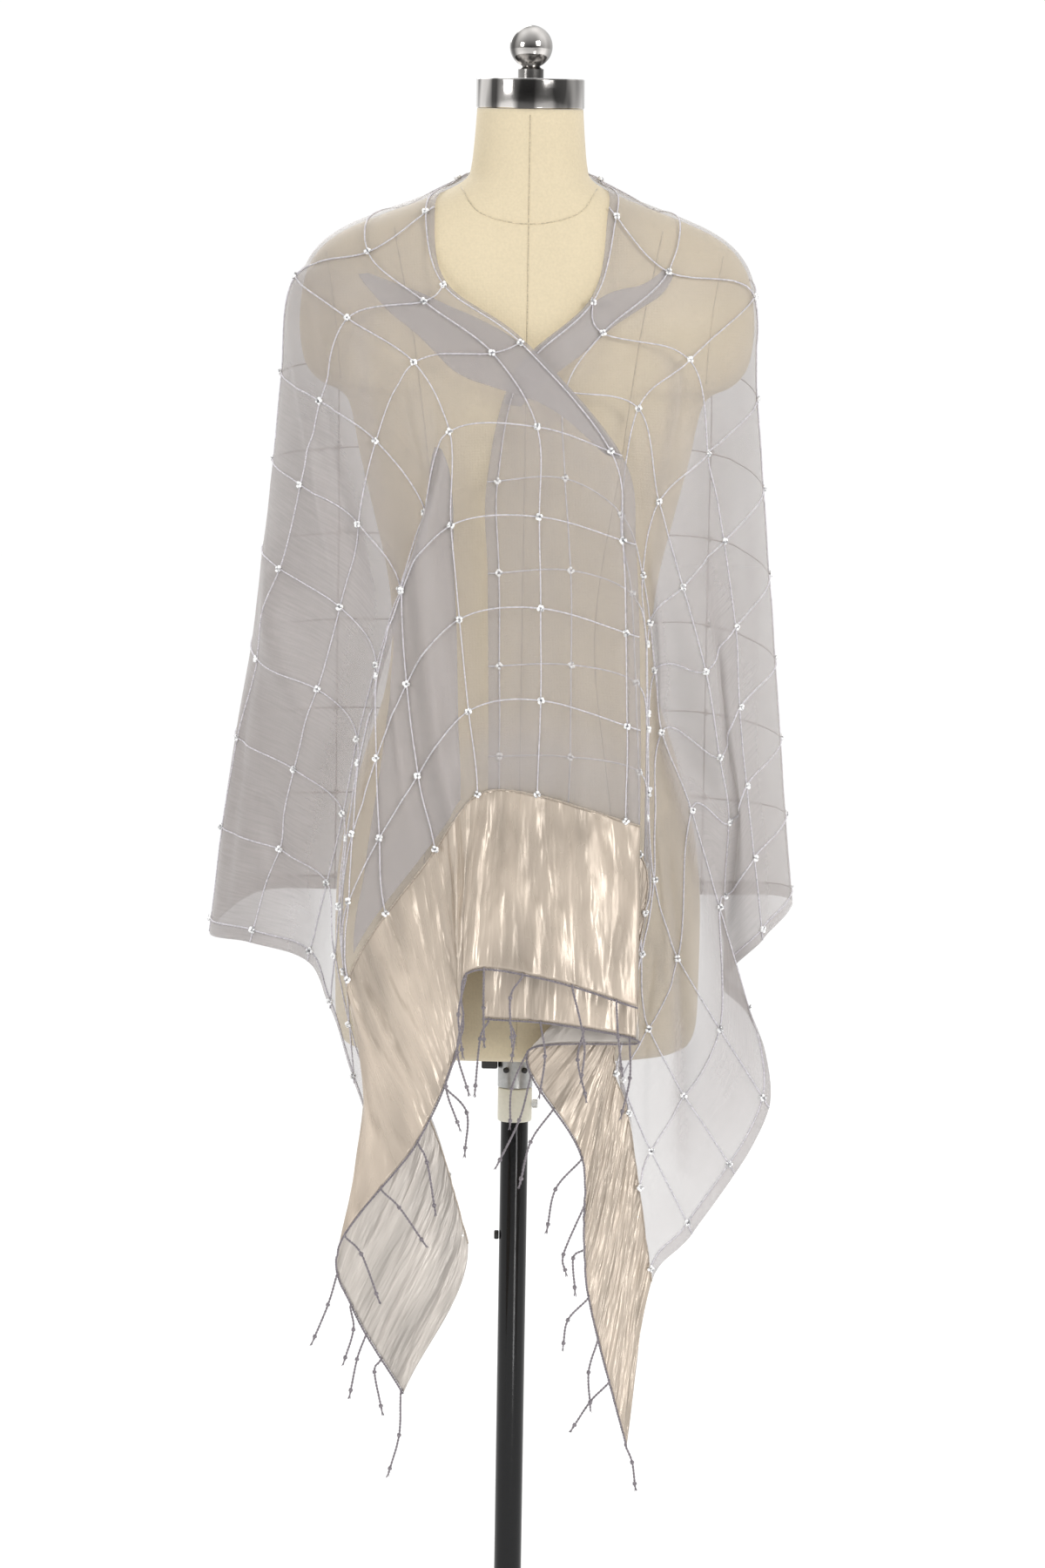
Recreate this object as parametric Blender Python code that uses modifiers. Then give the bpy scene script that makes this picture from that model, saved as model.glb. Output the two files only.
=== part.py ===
"""Sheer fringed shawl draped over a limbless dress form on a pole stand.

Metres, +Z up. The form faces -Y and its right hand, the viewer's left, is at -X.
The origin is the middle of the base's underside, which stands on the floor.

The shawl is one long rectangle. A place on it is told by two cloth coordinates:
  along   squares of its window-pane check from the centre back, minus to the viewer's left
  across  metres from the neck hem to the low hem
Every wall of cloth, fold and fringe strip is cut from one grid of places, lay_drape().
"""
import math
from bisect import bisect_right
from collections import namedtuple

import bmesh
import bpy
from mathutils import Vector
from mathutils.bvhtree import BVHTree

# Cloth, as cut
SQUARE = 0.083
HEM = 0.013
CHECK_LINES = 10
CLOTH_WIDTH = 2 * HEM + (CHECK_LINES - 1) * SQUARE
SEAM_SQUARES = 10
BAND_LENGTH = 0.170
END_SQUARES = SEAM_SQUARES + BAND_LENGTH / SQUARE
SIDE_SQUARES = 3

# Walls and the room kept between them
WALL = 0.0012
BAND_WALL = 0.0014
SEAM_GAP = 0.0003
SEWN_GAP = 0.0007
SEAT = 0.0011
CLEAR = 0.0036
SEAT_REACH = 0.030
PUSH_ROUNDS = 12
TUCK_BEHIND = 0.0028

# Parts of each stretch of cloth, end to end
BACK_COLUMNS = 24
FRONT_COLUMNS = 21
BAND_COLUMNS = 5

# Fringe
STRIP_WIDTH = 0.0026
STRAND_WIDTH = 0.0024
STRAND_STEPS = 4

# Stand, seen from the top down
FINIAL_RADIUS = 0.019
FINIAL_HEIGHT = 1.548
STEM_RADIUS = 0.0113
CAP_RADIUS = 0.048
CAP_TOP = 1.520
NECK_TOP = 1.4932
FORM_BOTTOM = 0.655
COLLAR_RADIUS = 0.0157
FERRULE_RADIUS = 0.0154
FERRULE_TOP = 0.6167
POLE_RADIUS = 0.0124
POLE_TOP = 0.5857
BASE_RADIUS = 0.175
BASE_THICK = 0.012
HUB_RADIUS = 0.030
HUB_TOP = 0.052
KNOB_HEIGHT = 0.641
SMALL_KNOB_HEIGHT = 0.6015
POLE_BUTTON_HEIGHT = 0.481

RING_POINTS = 36
RING_SQUARENESS = 2.4

FormRing = namedtuple("FormRing", "height half_width front back")
FORM_RINGS = (
    FormRing(NECK_TOP, 0.0470, 0.0470, 0.0470),
    FormRing(1.465, 0.0490, 0.0490, 0.0490),
    FormRing(1.442, 0.0515, 0.0515, 0.0525),
    FormRing(1.432, 0.0550, 0.0540, 0.0560),
    FormRing(1.422, 0.0700, 0.0570, 0.0600),
    FormRing(1.410, 0.0990, 0.0610, 0.0660),
    FormRing(1.398, 0.1310, 0.0650, 0.0720),
    FormRing(1.385, 0.1610, 0.0700, 0.0790),
    FormRing(1.370, 0.1820, 0.0760, 0.0860),
    FormRing(1.348, 0.1960, 0.0840, 0.0930),
    FormRing(1.310, 0.2020, 0.0940, 0.1010),
    FormRing(1.280, 0.2000, 0.1010, 0.1040),
    FormRing(1.262, 0.1940, 0.1060, 0.1050),
    FormRing(1.250, 0.1820, 0.1090, 0.1050),
    FormRing(1.243, 0.1660, 0.1110, 0.1050),
    FormRing(1.232, 0.1570, 0.1140, 0.1040),
    FormRing(1.187, 0.1470, 0.1220, 0.1010),
    FormRing(1.135, 0.1340, 0.1120, 0.0930),
    FormRing(1.080, 0.1210, 0.0970, 0.0860),
    FormRing(1.029, 0.1160, 0.0880, 0.0820),
    FormRing(0.975, 0.1220, 0.0910, 0.0880),
    FormRing(0.915, 0.1400, 0.1000, 0.1010),
    FormRing(0.855, 0.1560, 0.1090, 0.1130),
    FormRing(0.800, 0.1630, 0.1130, 0.1180),
    FormRing(0.700, 0.1630, 0.1130, 0.1160),
    FormRing(0.674, 0.1610, 0.1110, 0.1130),
    FormRing(0.660, 0.1550, 0.1060, 0.1080),
    FormRing(FORM_BOTTOM, 0.1460, 0.0970, 0.0990),
)

# One row for each line of the check that runs from hem to hem. A line's place is (x, y, z).
Section = namedtuple("Section", "squares neck_hem line_2 line_3 line_4 line_6 line_7 line_8 low_hem")

BACK_SECTIONS = (
    Section(0, (0, .062, 1.444), (0, .092, 1.398), (0, .112, 1.335), (0, .121, 1.262),
            (0, .127, 1.107), (0, .129, 1.028), (0, .130, .947), (0, .132, .779)),
    Section(1, (.032, .053, 1.441), (.060, .082, 1.400), (.077, .105, 1.335), (.083, .116, 1.262),
            (.084, .124, 1.107), (.084, .126, 1.028), (.084, .128, .947), (.084, .130, .779)),
    Section(2, (.055, .028, 1.434), (.112, .040, 1.402), (.160, .066, 1.348), (.168, .088, 1.264),
            (.168, .101, 1.107), (.168, .104, 1.028), (.168, .108, .947), (.168, .114, .779)),
)

LEFT_SECTIONS = (
    Section(3, (-.080, -.045, 1.400), (-.140, -.060, 1.366), (-.205, -.020, 1.343), (-.2175, 0, 1.257),
            (-.229, .025, 1.104), (-.233, .042, 1.026), (-.236, .060, .945), (-.237, .086, .779)),
    Section(4, (-.071, -.096, 1.342), (-.090, -.094, 1.325), (-.157, -.080, 1.309), (-.181, -.082, 1.236),
            (-.213, -.075, 1.087), (-.2345, -.055, 1.006), (-.2525, -.025, .932), (-.277, 0, .754)),
    Section(5, (-.002, -.118, 1.293), (-.030, -.118, 1.282), (-.098, -.112, 1.272), (-.130, -.118, 1.204),
            (-.160, -.114, 1.058), (-.178, -.105, .985), (-.199, -.092, .912), (-.238, -.068, .754)),
    Section(6, (.084, -.145, 1.196), (.010, -.148, 1.220), (-.066, -.140, 1.214), (-.088, -.138, 1.144),
            (-.127, -.116, 1.008), (-.143, -.104, .941), (-.155, -.094, .874), (-.186, -.082, .740)),
    Section(7, (.097, -.158, 1.120), (.013, -.160, 1.143), (-.063, -.155, 1.134), (-.105, -.150, 1.076),
            (-.141, -.142, .924), (-.151, -.136, .857), (-.157, -.122, .795), (-.165, -.092, .700)),
    Section(9, (.104, -.165, .959), (.017, -.168, .984), (-.046, -.162, .973), (-.089, -.160, .916),
            (-.148, -.146, .803), (-.152, -.128, .738), (-.134, -.112, .682), (-.112, -.096, .562)),
    Section(SEAM_SQUARES, (.105, -.165, .876), (.015, -.168, .902), (-.037, -.163, .901),
            (-.073, -.160, .852), (-.148, -.146, .734), (-.124, -.126, .672), (-.077, -.116, .610),
            (-.040, -.108, .494)),
    Section(END_SQUARES, (.106, -.163, .716), (.024, -.168, .741), (-.043, -.165, .745),
            (-.048, -.156, .690), (-.087, -.150, .590), (-.153, -.136, .497), (-.142, -.120, .440),
            (-.095, -.116, .360)),
)

RIGHT_SECTIONS = (
    Section(3, (.067, -.046, 1.400), (.122, -.068, 1.352), (.194, -.020, 1.330), (.205, -.012, 1.240),
            (.219, 0, 1.084), (.226, .004, 1.008), (.2325, .006, .937), (.2455, .008, .790)),
    Section(4, (.056, -.097, 1.331), (.066, -.098, 1.300), (.142, -.096, 1.277), (.160, -.107, 1.197),
            (.186, -.103, 1.045), (.192, -.098, .974), (.200, -.086, .903), (.217, -.058, .762)),
    Section(5, (-.010, -.112, 1.266), (.034, -.122, 1.250), (.098, -.122, 1.236), (.117, -.130, 1.156),
            (.161, -.118, 1.007), (.175, -.104, .930), (.186, -.084, .868), (.184, -.054, .722)),
    Section(6, (-.033, -.137, 1.171), (.035, -.138, 1.175), (.085, -.134, 1.144), (.104, -.128, 1.091),
            (.116, -.112, 1.008), (.122, -.103, .953), (.150, -.097, .882), (.211, -.088, .692)),
    Section(7, (-.031, -.147, 1.092), (.041, -.149, 1.096), (.094, -.144, 1.076), (.108, -.134, 1.031),
            (.112, -.117, .902), (.119, -.108, .821), (.143, -.102, .750), (.226, -.078, .614)),
    Section(9, (-.028, -.152, .933), (.043, -.154, .934), (.103, -.150, .921), (.110, -.138, .879),
            (.107, -.123, .773), (.098, -.116, .703), (.094, -.111, .643), (.159, -.098, .503)),
    Section(SEAM_SQUARES, (-.028, -.152, .866), (.041, -.154, .864), (.105, -.151, .849),
            (.111, -.140, .796), (.090, -.127, .690), (.088, -.120, .650), (.100, -.115, .614),
            (.124, -.106, .462)),
    Section(END_SQUARES, (-.030, -.152, .703), (.037, -.155, .699), (.108, -.152, .684),
            (.012, -.134, .672), (.060, -.130, .577), (.063, -.126, .510), (.068, -.121, .451),
            (.104, -.112, .314)),
)

# Largest soft folds: a ridge, or with a minus lift a trough, along a straight line of the cloth
Fold = namedtuple("Fold", "along across to_along to_across half_width lift")
FOLDS = (
    Fold(-6.4, .225, -11.8, .225, .017, -.011),
    Fold(-4.2, .300, -5.6, .420, .022, .009),
    Fold(-3.6, .430, -5.2, .560, .022, -.009),
    Fold(-4.4, .620, -5.8, .740, .018, .009),
    Fold(-8.2, .060, -11.6, .045, .014, -.005),
    Fold(4.3, .330, 5.0, .700, .018, .010),
    Fold(5.6, .300, 6.2, .640, .016, -.009),
    Fold(6.7, .560, 8.6, .720, .016, .008),
    Fold(7.2, .090, 11.4, .100, .016, -.005),
    Fold(-1.4, .330, -1.5, .760, .024, .007),
    Fold(-.2, .300, .1, .770, .026, -.006),
    Fold(1.3, .330, 1.5, .760, .024, .007),
)

# Turned-under cloth along the V of the neck: a row for each place, with its two edges
Tuck = namedtuple("Tuck", "along upper lower")
LEFT_TUCK = (
    Tuck(-3.25, .120, .138), Tuck(-3.6, .110, .150), Tuck(-4.0, .100, .148), Tuck(-4.5, .098, .146),
    Tuck(-5.0, .096, .140), Tuck(-5.4, .056, .108), Tuck(-5.8, .020, .062), Tuck(-6.1, .008, .030),
)
RIGHT_TUCK = (
    Tuck(3.2, .090, .106), Tuck(3.5, .050, .110), Tuck(3.85, .004, .108), Tuck(4.3, .004, .104),
    Tuck(4.7, .004, .090),
)

# Twisted fringe: where it leaves the end, and its knot and tip from there, sideways and down
Strand = namedtuple("Strand", "across forward knot_side knot_drop tip_side tip_drop")
LEFT_FRINGE = (
    Strand(.022, .005, .002, .032, .006, .064), Strand(.067, .005, .011, .050, .009, .082),
    Strand(.118, .005, -.010, .021, -.008, .061), Strand(.156, .005, .000, .034, .001, .066),
    Strand(.183, .020, -.006, .033, -.002, .068), Strand(.235, .014, -.004, .034, .006, .069),
    Strand(.290, .009, -.008, .030, .004, .066), Strand(.345, .003, .020, .024, .019, .060),
    Strand(.425, .006, .009, .018, .017, .062), Strand(.465, .014, .016, .016, .039, .048),
    Strand(.500, .018, .014, .016, .030, .056), Strand(.545, .004, -.008, .028, -.021, .061),
    Strand(.594, .005, .002, .022, -.006, .051), Strand(.650, .006, -.008, .022, -.014, .054),
    Strand(.700, .005, -.006, .012, .001, .047), Strand(.768, .003, -.002, .040, -.011, .075),
)
RIGHT_FRINGE = (
    Strand(.008, .003, -.007, .018, -.011, .066), Strand(.036, .004, .004, .014, .002, .034),
    Strand(.075, .004, .004, .030, .000, .064), Strand(.118, .004, -.005, .028, .003, .062),
    Strand(.155, .004, .001, .036, -.006, .070), Strand(.262, .003, -.015, .034, -.016, .067),
    Strand(.310, .003, -.011, .039, -.030, .080), Strand(.360, .003, -.020, .030, -.029, .068),
    Strand(.428, .003, -.023, .029, -.030, .065), Strand(.480, .003, -.018, .046, -.016, .062),
    Strand(.530, .006, -.010, .010, -.008, .040), Strand(.594, .003, -.018, .022, -.022, .046),
    Strand(.645, .006, -.008, .030, -.006, .062), Strand(.695, .003, -.016, .019, -.032, .044),
    Strand(.768, .004, .006, .018, .009, .040),
)


def line_place(number):
    """Metres from the neck hem to one line of the check."""
    return HEM + (number - 1) * SQUARE


ACROSS_STOPS = (0.0, line_place(2), line_place(3), line_place(4), line_place(6), line_place(7),
                line_place(8), CLOTH_WIDTH)


def smooth_curve(stops, values, place):
    """Cubic curve through values at uneven stops."""
    last = len(stops) - 1
    i = min(max(bisect_right(stops, place) - 1, 0), last - 1)
    step = stops[i + 1] - stops[i]

    def slope(k):
        low = max(k - 1, 0)
        high = min(k + 1, last)
        return (values[high] - values[low]) / (stops[high] - stops[low])

    t = (place - stops[i]) / step
    near = (2 * t ** 3 - 3 * t ** 2 + 1) * values[i] + (t ** 3 - 2 * t ** 2 + t) * step * slope(i)
    far = (3 * t ** 2 - 2 * t ** 3) * values[i + 1] + (t ** 3 - t ** 2) * step * slope(i + 1)
    return near + far


def flipped(section):
    """The same section on the other side of the body."""
    return Section(section.squares, *((-x, y, z) for x, y, z in section[1:]))


def all_sections():
    """Every section from the viewer's left end to the right end, with its signed place."""
    rows = [(-row.squares, row) for row in LEFT_SECTIONS]
    rows += [(-row.squares, flipped(row)) for row in BACK_SECTIONS]
    rows += [(row.squares, row) for row in BACK_SECTIONS[1:]]
    rows += [(row.squares, row) for row in RIGHT_SECTIONS]
    rows.sort(key=lambda row: row[0])
    stops = [place for place, row in rows]
    curves = [[Vector(point) for point in row[1:]] for place, row in rows]
    return stops, curves


ALONG_STOPS, SECTION_CURVES = all_sections()


def base_point(along, across):
    """The drape before its soft folds."""
    across = min(max(across, 0.0), CLOTH_WIDTH)
    i = min(max(bisect_right(ALONG_STOPS, along) - 1, 0), len(ALONG_STOPS) - 2)
    first = max(i - 1, 0)
    near = range(first, min(i + 3, len(ALONG_STOPS)))
    values = [smooth_curve(ACROSS_STOPS, SECTION_CURVES[k], across) for k in near]
    return smooth_curve([ALONG_STOPS[k] for k in near], values, along)


def cloth_normal(along, across):
    """Outward direction of the drape, away from the body."""
    step = 0.03
    low = max(across - 0.004, 0.0)
    high = min(across + 0.004, CLOTH_WIDTH)
    near = max(along - step, -END_SQUARES)
    far = min(along + step, END_SQUARES)
    run = base_point(far, across) - base_point(near, across)
    drop = base_point(along, high) - base_point(along, low)
    return drop.cross(run).normalized()


def fold_lift(along, across):
    """Height of all the soft folds at one place."""
    total = 0.0
    here = Vector((along * SQUARE, across))
    for fold in FOLDS:
        start = Vector((fold.along * SQUARE, fold.across))
        run = Vector((fold.to_along * SQUARE, fold.to_across)) - start
        t = min(max((here - start).dot(run) / run.length_squared, 0.0), 1.0)
        away = (here - start - run * t).length / fold.half_width
        swell = math.sin(math.pi * min(max(t, 0.04), 0.96)) ** 0.5
        total += fold.lift * swell * math.exp(-away * away)
    return total


def cloth_point(along, across):
    """A place on the finished drape, before it is laid on the form."""
    return base_point(along, across) + cloth_normal(along, across) * fold_lift(along, across)


def material(name, colour, roughness, metallic=0.0, alpha=1.0):
    """A plain named surface."""
    made = bpy.data.materials.new(name)
    made.use_nodes = True
    shader = made.node_tree.nodes["Principled BSDF"]
    shader.inputs["Base Color"].default_value = (*colour, 1.0)
    shader.inputs["Roughness"].default_value = roughness
    shader.inputs["Metallic"].default_value = metallic
    shader.inputs["Alpha"].default_value = alpha
    made.diffuse_color = (*colour, 1.0)
    return made


def add_object(name, mesh, surface, collection):
    """Puts a mesh in the collection as one named sub-part."""
    made = bpy.data.objects.new(name, mesh)
    collection.objects.link(made)
    mesh.materials.append(surface)
    mesh.shade_smooth()
    mesh.set_sharp_from_angle(angle=math.radians(40))
    return made


def mesh_from(name, points, faces):
    """A mesh whose faces all point out."""
    mesh = bpy.data.meshes.new(name)
    mesh.from_pydata([tuple(point) for point in points], [], faces)
    shape = bmesh.new()
    shape.from_mesh(mesh)
    bmesh.ops.recalc_face_normals(shape, faces=shape.faces)
    shape.to_mesh(mesh)
    shape.free()
    return mesh


def form_ring(ring):
    """Rounded outline of the form at one height."""
    points = []
    power = 2.0 / RING_SQUARENESS
    for k in range(RING_POINTS):
        turn = 2 * math.pi * k / RING_POINTS
        side = math.copysign(abs(math.cos(turn)) ** power, math.cos(turn))
        fore = math.copysign(abs(math.sin(turn)) ** power, math.sin(turn))
        reach = ring.back if fore > 0 else ring.front
        points.append(Vector((ring.half_width * side, reach * fore, ring.height)))
    return points


def make_form(collection):
    """Torso, shoulders, arm stumps and neck in one smooth fabric-covered body."""
    points = [point for ring in FORM_RINGS for point in form_ring(ring)]
    faces = []
    for row in range(len(FORM_RINGS) - 1):
        for k in range(RING_POINTS):
            a = row * RING_POINTS + k
            b = row * RING_POINTS + (k + 1) % RING_POINTS
            faces.append((a, b, b + RING_POINTS, a + RING_POINTS))
    last = (len(FORM_RINGS) - 1) * RING_POINTS
    faces.append(tuple(range(RING_POINTS)))
    faces.append(tuple(range(last, last + RING_POINTS)))
    mesh = mesh_from("form_body", points, faces)
    return add_object("form_body", mesh, material("form_cotton", (0.74, 0.65, 0.45), 0.85), collection)


def turned(name, profile, surface, collection, steps=40):
    """A round piece: its profile runs from the top at the axis to the bottom at the axis."""
    mesh = bpy.data.meshes.new(name)
    edges = [(k, k + 1) for k in range(len(profile) - 1)]
    mesh.from_pydata([(radius, 0.0, height) for radius, height in profile], edges, [])
    made = add_object(name, mesh, surface, collection)
    screw = made.modifiers.new("turn", "SCREW")
    screw.steps = steps
    screw.render_steps = steps
    screw.use_merge_vertices = True
    screw.merge_threshold = 0.00001
    return made


def arc(centre_radius, centre_height, radius, start, end, count):
    """Profile points on a round stretch; angles in degrees up from level."""
    turns = [math.radians(start + (end - start) * k / count) for k in range(count + 1)]
    return [(centre_radius + radius * math.cos(t), centre_height + radius * math.sin(t)) for t in turns]


def make_finial(collection, steel):
    """Ball and stem on top of the neck cap."""
    meet = math.degrees(math.acos(STEM_RADIUS * 0.7 / FINIAL_RADIUS))
    ball = arc(0.0, FINIAL_HEIGHT, FINIAL_RADIUS, 90, -meet, 12)
    ball[0] = (0.0, FINIAL_HEIGHT + FINIAL_RADIUS)
    foot = CAP_TOP + SEAM_GAP
    stem = [(STEM_RADIUS, ball[-1][1] - 0.001), (STEM_RADIUS, foot), (0.0, foot)]
    return turned("finial", ball + stem, steel, collection, 20)


def make_neck_cap(collection, steel):
    """Polished plate that closes the neck."""
    low = NECK_TOP + SEAM_GAP
    edge = 0.0015
    profile = [(0.0, CAP_TOP)]
    profile += arc(CAP_RADIUS - edge, CAP_TOP - edge, edge, 90, 0, 3)
    profile += arc(CAP_RADIUS - edge, low + edge, edge, 0, -90, 3)
    profile.append((0.0, low))
    return turned("neck_cap", profile, steel, collection, 36)


def make_collar(collection, surface):
    """Metal socket under the form that takes the pole."""
    low = FERRULE_TOP + SEAM_GAP
    top = FORM_BOTTOM - SEAM_GAP
    lip = 0.002
    profile = [(0.0, top), (COLLAR_RADIUS + lip, top), (COLLAR_RADIUS + lip, top - lip)]
    profile += [(COLLAR_RADIUS, top - 2 * lip), (COLLAR_RADIUS, low), (0.0, low)]
    return turned("collar", profile, surface, collection, 24)


def make_ferrule(collection, surface):
    """Moulded ring that grips the top of the pole."""
    low = POLE_TOP + SEAM_GAP
    edge = 0.0015
    profile = [(0.0, FERRULE_TOP), (FERRULE_RADIUS - edge, FERRULE_TOP)]
    profile += [(FERRULE_RADIUS, FERRULE_TOP - edge), (FERRULE_RADIUS, low + edge)]
    profile += [(FERRULE_RADIUS - edge, low), (0.0, low)]
    return turned("ferrule", profile, surface, collection, 24)


def make_pole(collection, surface):
    """Painted tube from the hub to the ferrule."""
    low = HUB_TOP + SEAM_GAP
    profile = [(0.0, POLE_TOP), (POLE_RADIUS, POLE_TOP), (POLE_RADIUS, low), (0.0, low)]
    return turned("pole", profile, surface, collection, 24)


def make_base(collection, surface):
    """Round weighted foot with a hub for the pole."""
    edge = 0.004
    profile = [(0.0, HUB_TOP), (HUB_RADIUS * 0.62, HUB_TOP), (HUB_RADIUS * 0.70, HUB_TOP - edge)]
    profile += [(HUB_RADIUS * 0.78, BASE_THICK + 0.012), (HUB_RADIUS, BASE_THICK + edge)]
    profile += [(HUB_RADIUS + edge, BASE_THICK)]
    profile += arc(BASE_RADIUS - edge, BASE_THICK - edge, edge, 90, 0, 4)
    profile += [(BASE_RADIUS, 0.001), (BASE_RADIUS - 0.001, 0.0), (0.0, 0.0)]
    return turned("base", profile, surface, collection, 40)


def side_knob(name, carrier_radius, height, radius, length, side, surface, collection):
    """A short round knob that stands out sideways from a round piece."""
    shape = bmesh.new()
    bmesh.ops.create_cone(shape, cap_ends=True, segments=16, radius1=radius, radius2=radius,
                          depth=length)
    mesh = bpy.data.meshes.new(name)
    shape.to_mesh(mesh)
    shape.free()
    made = add_object(name, mesh, surface, collection)
    made.rotation_euler = (0.0, math.radians(90), 0.0)
    made.location = (side * (carrier_radius + SEAM_GAP + length / 2), 0.0, height)
    edge = made.modifiers.new("edge", "BEVEL")
    edge.width = 0.0008
    edge.segments = 1
    return made


def make_clamp(collection, surface):
    """Dark block of the height clamp beside the collar."""
    width, depth, height = 0.0145, 0.022, 0.0135
    shape = bmesh.new()
    bmesh.ops.create_cube(shape, size=1.0)
    bmesh.ops.scale(shape, vec=(width, depth, height), verts=shape.verts)
    mesh = bpy.data.meshes.new("clamp")
    shape.to_mesh(mesh)
    shape.free()
    made = add_object("clamp", mesh, surface, collection)
    made.location = (-(COLLAR_RADIUS + SEAM_GAP + width / 2), 0.0, KNOB_HEIGHT)
    edge = made.modifiers.new("edge", "BEVEL")
    edge.width = 0.0015
    edge.segments = 2
    return made


def spread(start, end, count):
    """Even places from start to end."""
    return [start + (end - start) * k / count for k in range(count + 1)]


def cloth_rows():
    """Places across the cloth, closest over the shoulders and at the folds of its ends."""
    places = spread(0.0, 0.260, 12)
    places += spread(0.260, 0.560, 11)[1:]
    places += spread(0.560, CLOTH_WIDTH, 5)[1:]
    return places


ROWS = cloth_rows()


def drape_columns():
    """Places along the cloth from the viewer's left end to the right end, every seam among them."""
    places = spread(-END_SQUARES, -SEAM_SQUARES, BAND_COLUMNS)
    places += spread(-SEAM_SQUARES, -SIDE_SQUARES, FRONT_COLUMNS)[1:]
    places += spread(-SIDE_SQUARES, SIDE_SQUARES, BACK_COLUMNS)[1:]
    places += spread(SIDE_SQUARES, SEAM_SQUARES, FRONT_COLUMNS)[1:]
    places += spread(SEAM_SQUARES, END_SQUARES, BAND_COLUMNS)[1:]
    return places


COLUMNS = drape_columns()


def push_off(points, form):
    """Moves the grid out wherever a corner, an edge or a middle comes too near the form."""
    for turn in range(PUSH_ROUNDS):
        moves = {}
        for c in range(len(COLUMNS) - 1):
            for r in range(len(ROWS) - 1):
                corners = ((c, r), (c, r + 1), (c + 1, r + 1), (c + 1, r))
                groups = [corners, corners[:2], corners[1:3], corners[2:], (corners[0], corners[3])]
                for group in groups + [(corner,) for corner in corners]:
                    middle = sum((points[a][b] for a, b in group), Vector()) / len(group)
                    near, outward, index, distance = form.find_nearest(middle)
                    across = sum(ROWS[b] for a, b in group) / len(group)
                    least = SEAT + (CLEAR - SEAT) * min(across / SEAT_REACH, 1.0)
                    short = least - (middle - near).dot(outward)
                    if short <= 0.00002:
                        continue
                    for corner in group:
                        if corner not in moves or moves[corner].length < short:
                            moves[corner] = outward * short
        for (a, b), move in moves.items():
            points[a][b] = points[a][b] + move
        if not moves:
            return


def grid_normals(points):
    """Outward direction at each place of the grid, between those of the faces around it."""
    normals = [[Vector() for across in ROWS] for along in COLUMNS]
    for c in range(len(COLUMNS) - 1):
        for r in range(len(ROWS) - 1):
            one = points[c + 1][r + 1] - points[c][r]
            other = points[c + 1][r] - points[c][r + 1]
            outward = one.cross(other).normalized()
            for a, b in ((c, r), (c, r + 1), (c + 1, r + 1), (c + 1, r)):
                normals[a][b] += outward
    return [[normal.normalized() for normal in column] for column in normals]


def seat_neck_hem(points, form):
    """Brings the hem behind the neck down to the shoulders, which carry the shawl."""
    for c, along in enumerate(COLUMNS):
        if abs(along) <= SIDE_SQUARES:
            near, outward, index, distance = form.find_nearest(points[c][0])
            points[c][0] = near + outward * SEAT


Drape = namedtuple("Drape", "points normals")


def lay_drape(form):
    """The whole shawl as one grid of places that hangs clear of the form."""
    points = [[cloth_point(along, across) for across in ROWS] for along in COLUMNS]
    seat_neck_hem(points, form)
    push_off(points, form)
    return Drape(points, grid_normals(points))


def drape_place(drape, along, across):
    """Place and outward direction anywhere on the grid."""
    c = min(max(bisect_right(COLUMNS, along) - 1, 0), len(COLUMNS) - 2)
    r = min(max(bisect_right(ROWS, across) - 1, 0), len(ROWS) - 2)
    u = (along - COLUMNS[c]) / (COLUMNS[c + 1] - COLUMNS[c])
    v = (across - ROWS[r]) / (ROWS[r + 1] - ROWS[r])
    found = []
    for values in drape:
        low = values[c][r].lerp(values[c + 1][r], u)
        high = values[c][r + 1].lerp(values[c + 1][r + 1], u)
        found.append(low.lerp(high, v))
    return found[0], found[1].normalized()


def off_the_rim(drape, column, other, row):
    """Unit direction in the cloth, square to the rim at one column and away from another column."""
    here = drape.points[column]
    rim = here[min(row + 1, len(ROWS) - 1)] - here[max(row - 1, 0)]
    away = here[row] - drape.points[other][row]
    away -= rim * (away.dot(rim) / rim.length_squared)
    return away.normalized()


def make_cloth(name, start, end, wall, surface, drape, collection):
    """One stretch of the shawl as a thin wall between two seams or ends."""
    first = COLUMNS.index(start)
    last = COLUMNS.index(end)
    spots = []
    for c in range(first, last + 1):
        for r in range(len(ROWS)):
            place = drape.points[c][r]
            if c in (first, last) and 0 < c < len(COLUMNS) - 1:
                inside = c + 1 if c == first else c - 1
                place = place - off_the_rim(drape, c, inside, r) * (SEWN_GAP / 2)
            spots.append((place, drape.normals[c][r]))
    return walled_grid(name, spots, last - first, len(ROWS) - 1, wall, surface, collection)


def shorter_split(spots, corners):
    """The two halves of a four-cornered cell, parted on its shorter diagonal."""
    a, b, c, d = corners
    one = (spots[c][0] - spots[a][0]).length
    other = (spots[d][0] - spots[b][0]).length
    if one <= other:
        return (a, b, c), (a, c, d)
    return (a, b, d), (b, c, d)


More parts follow.
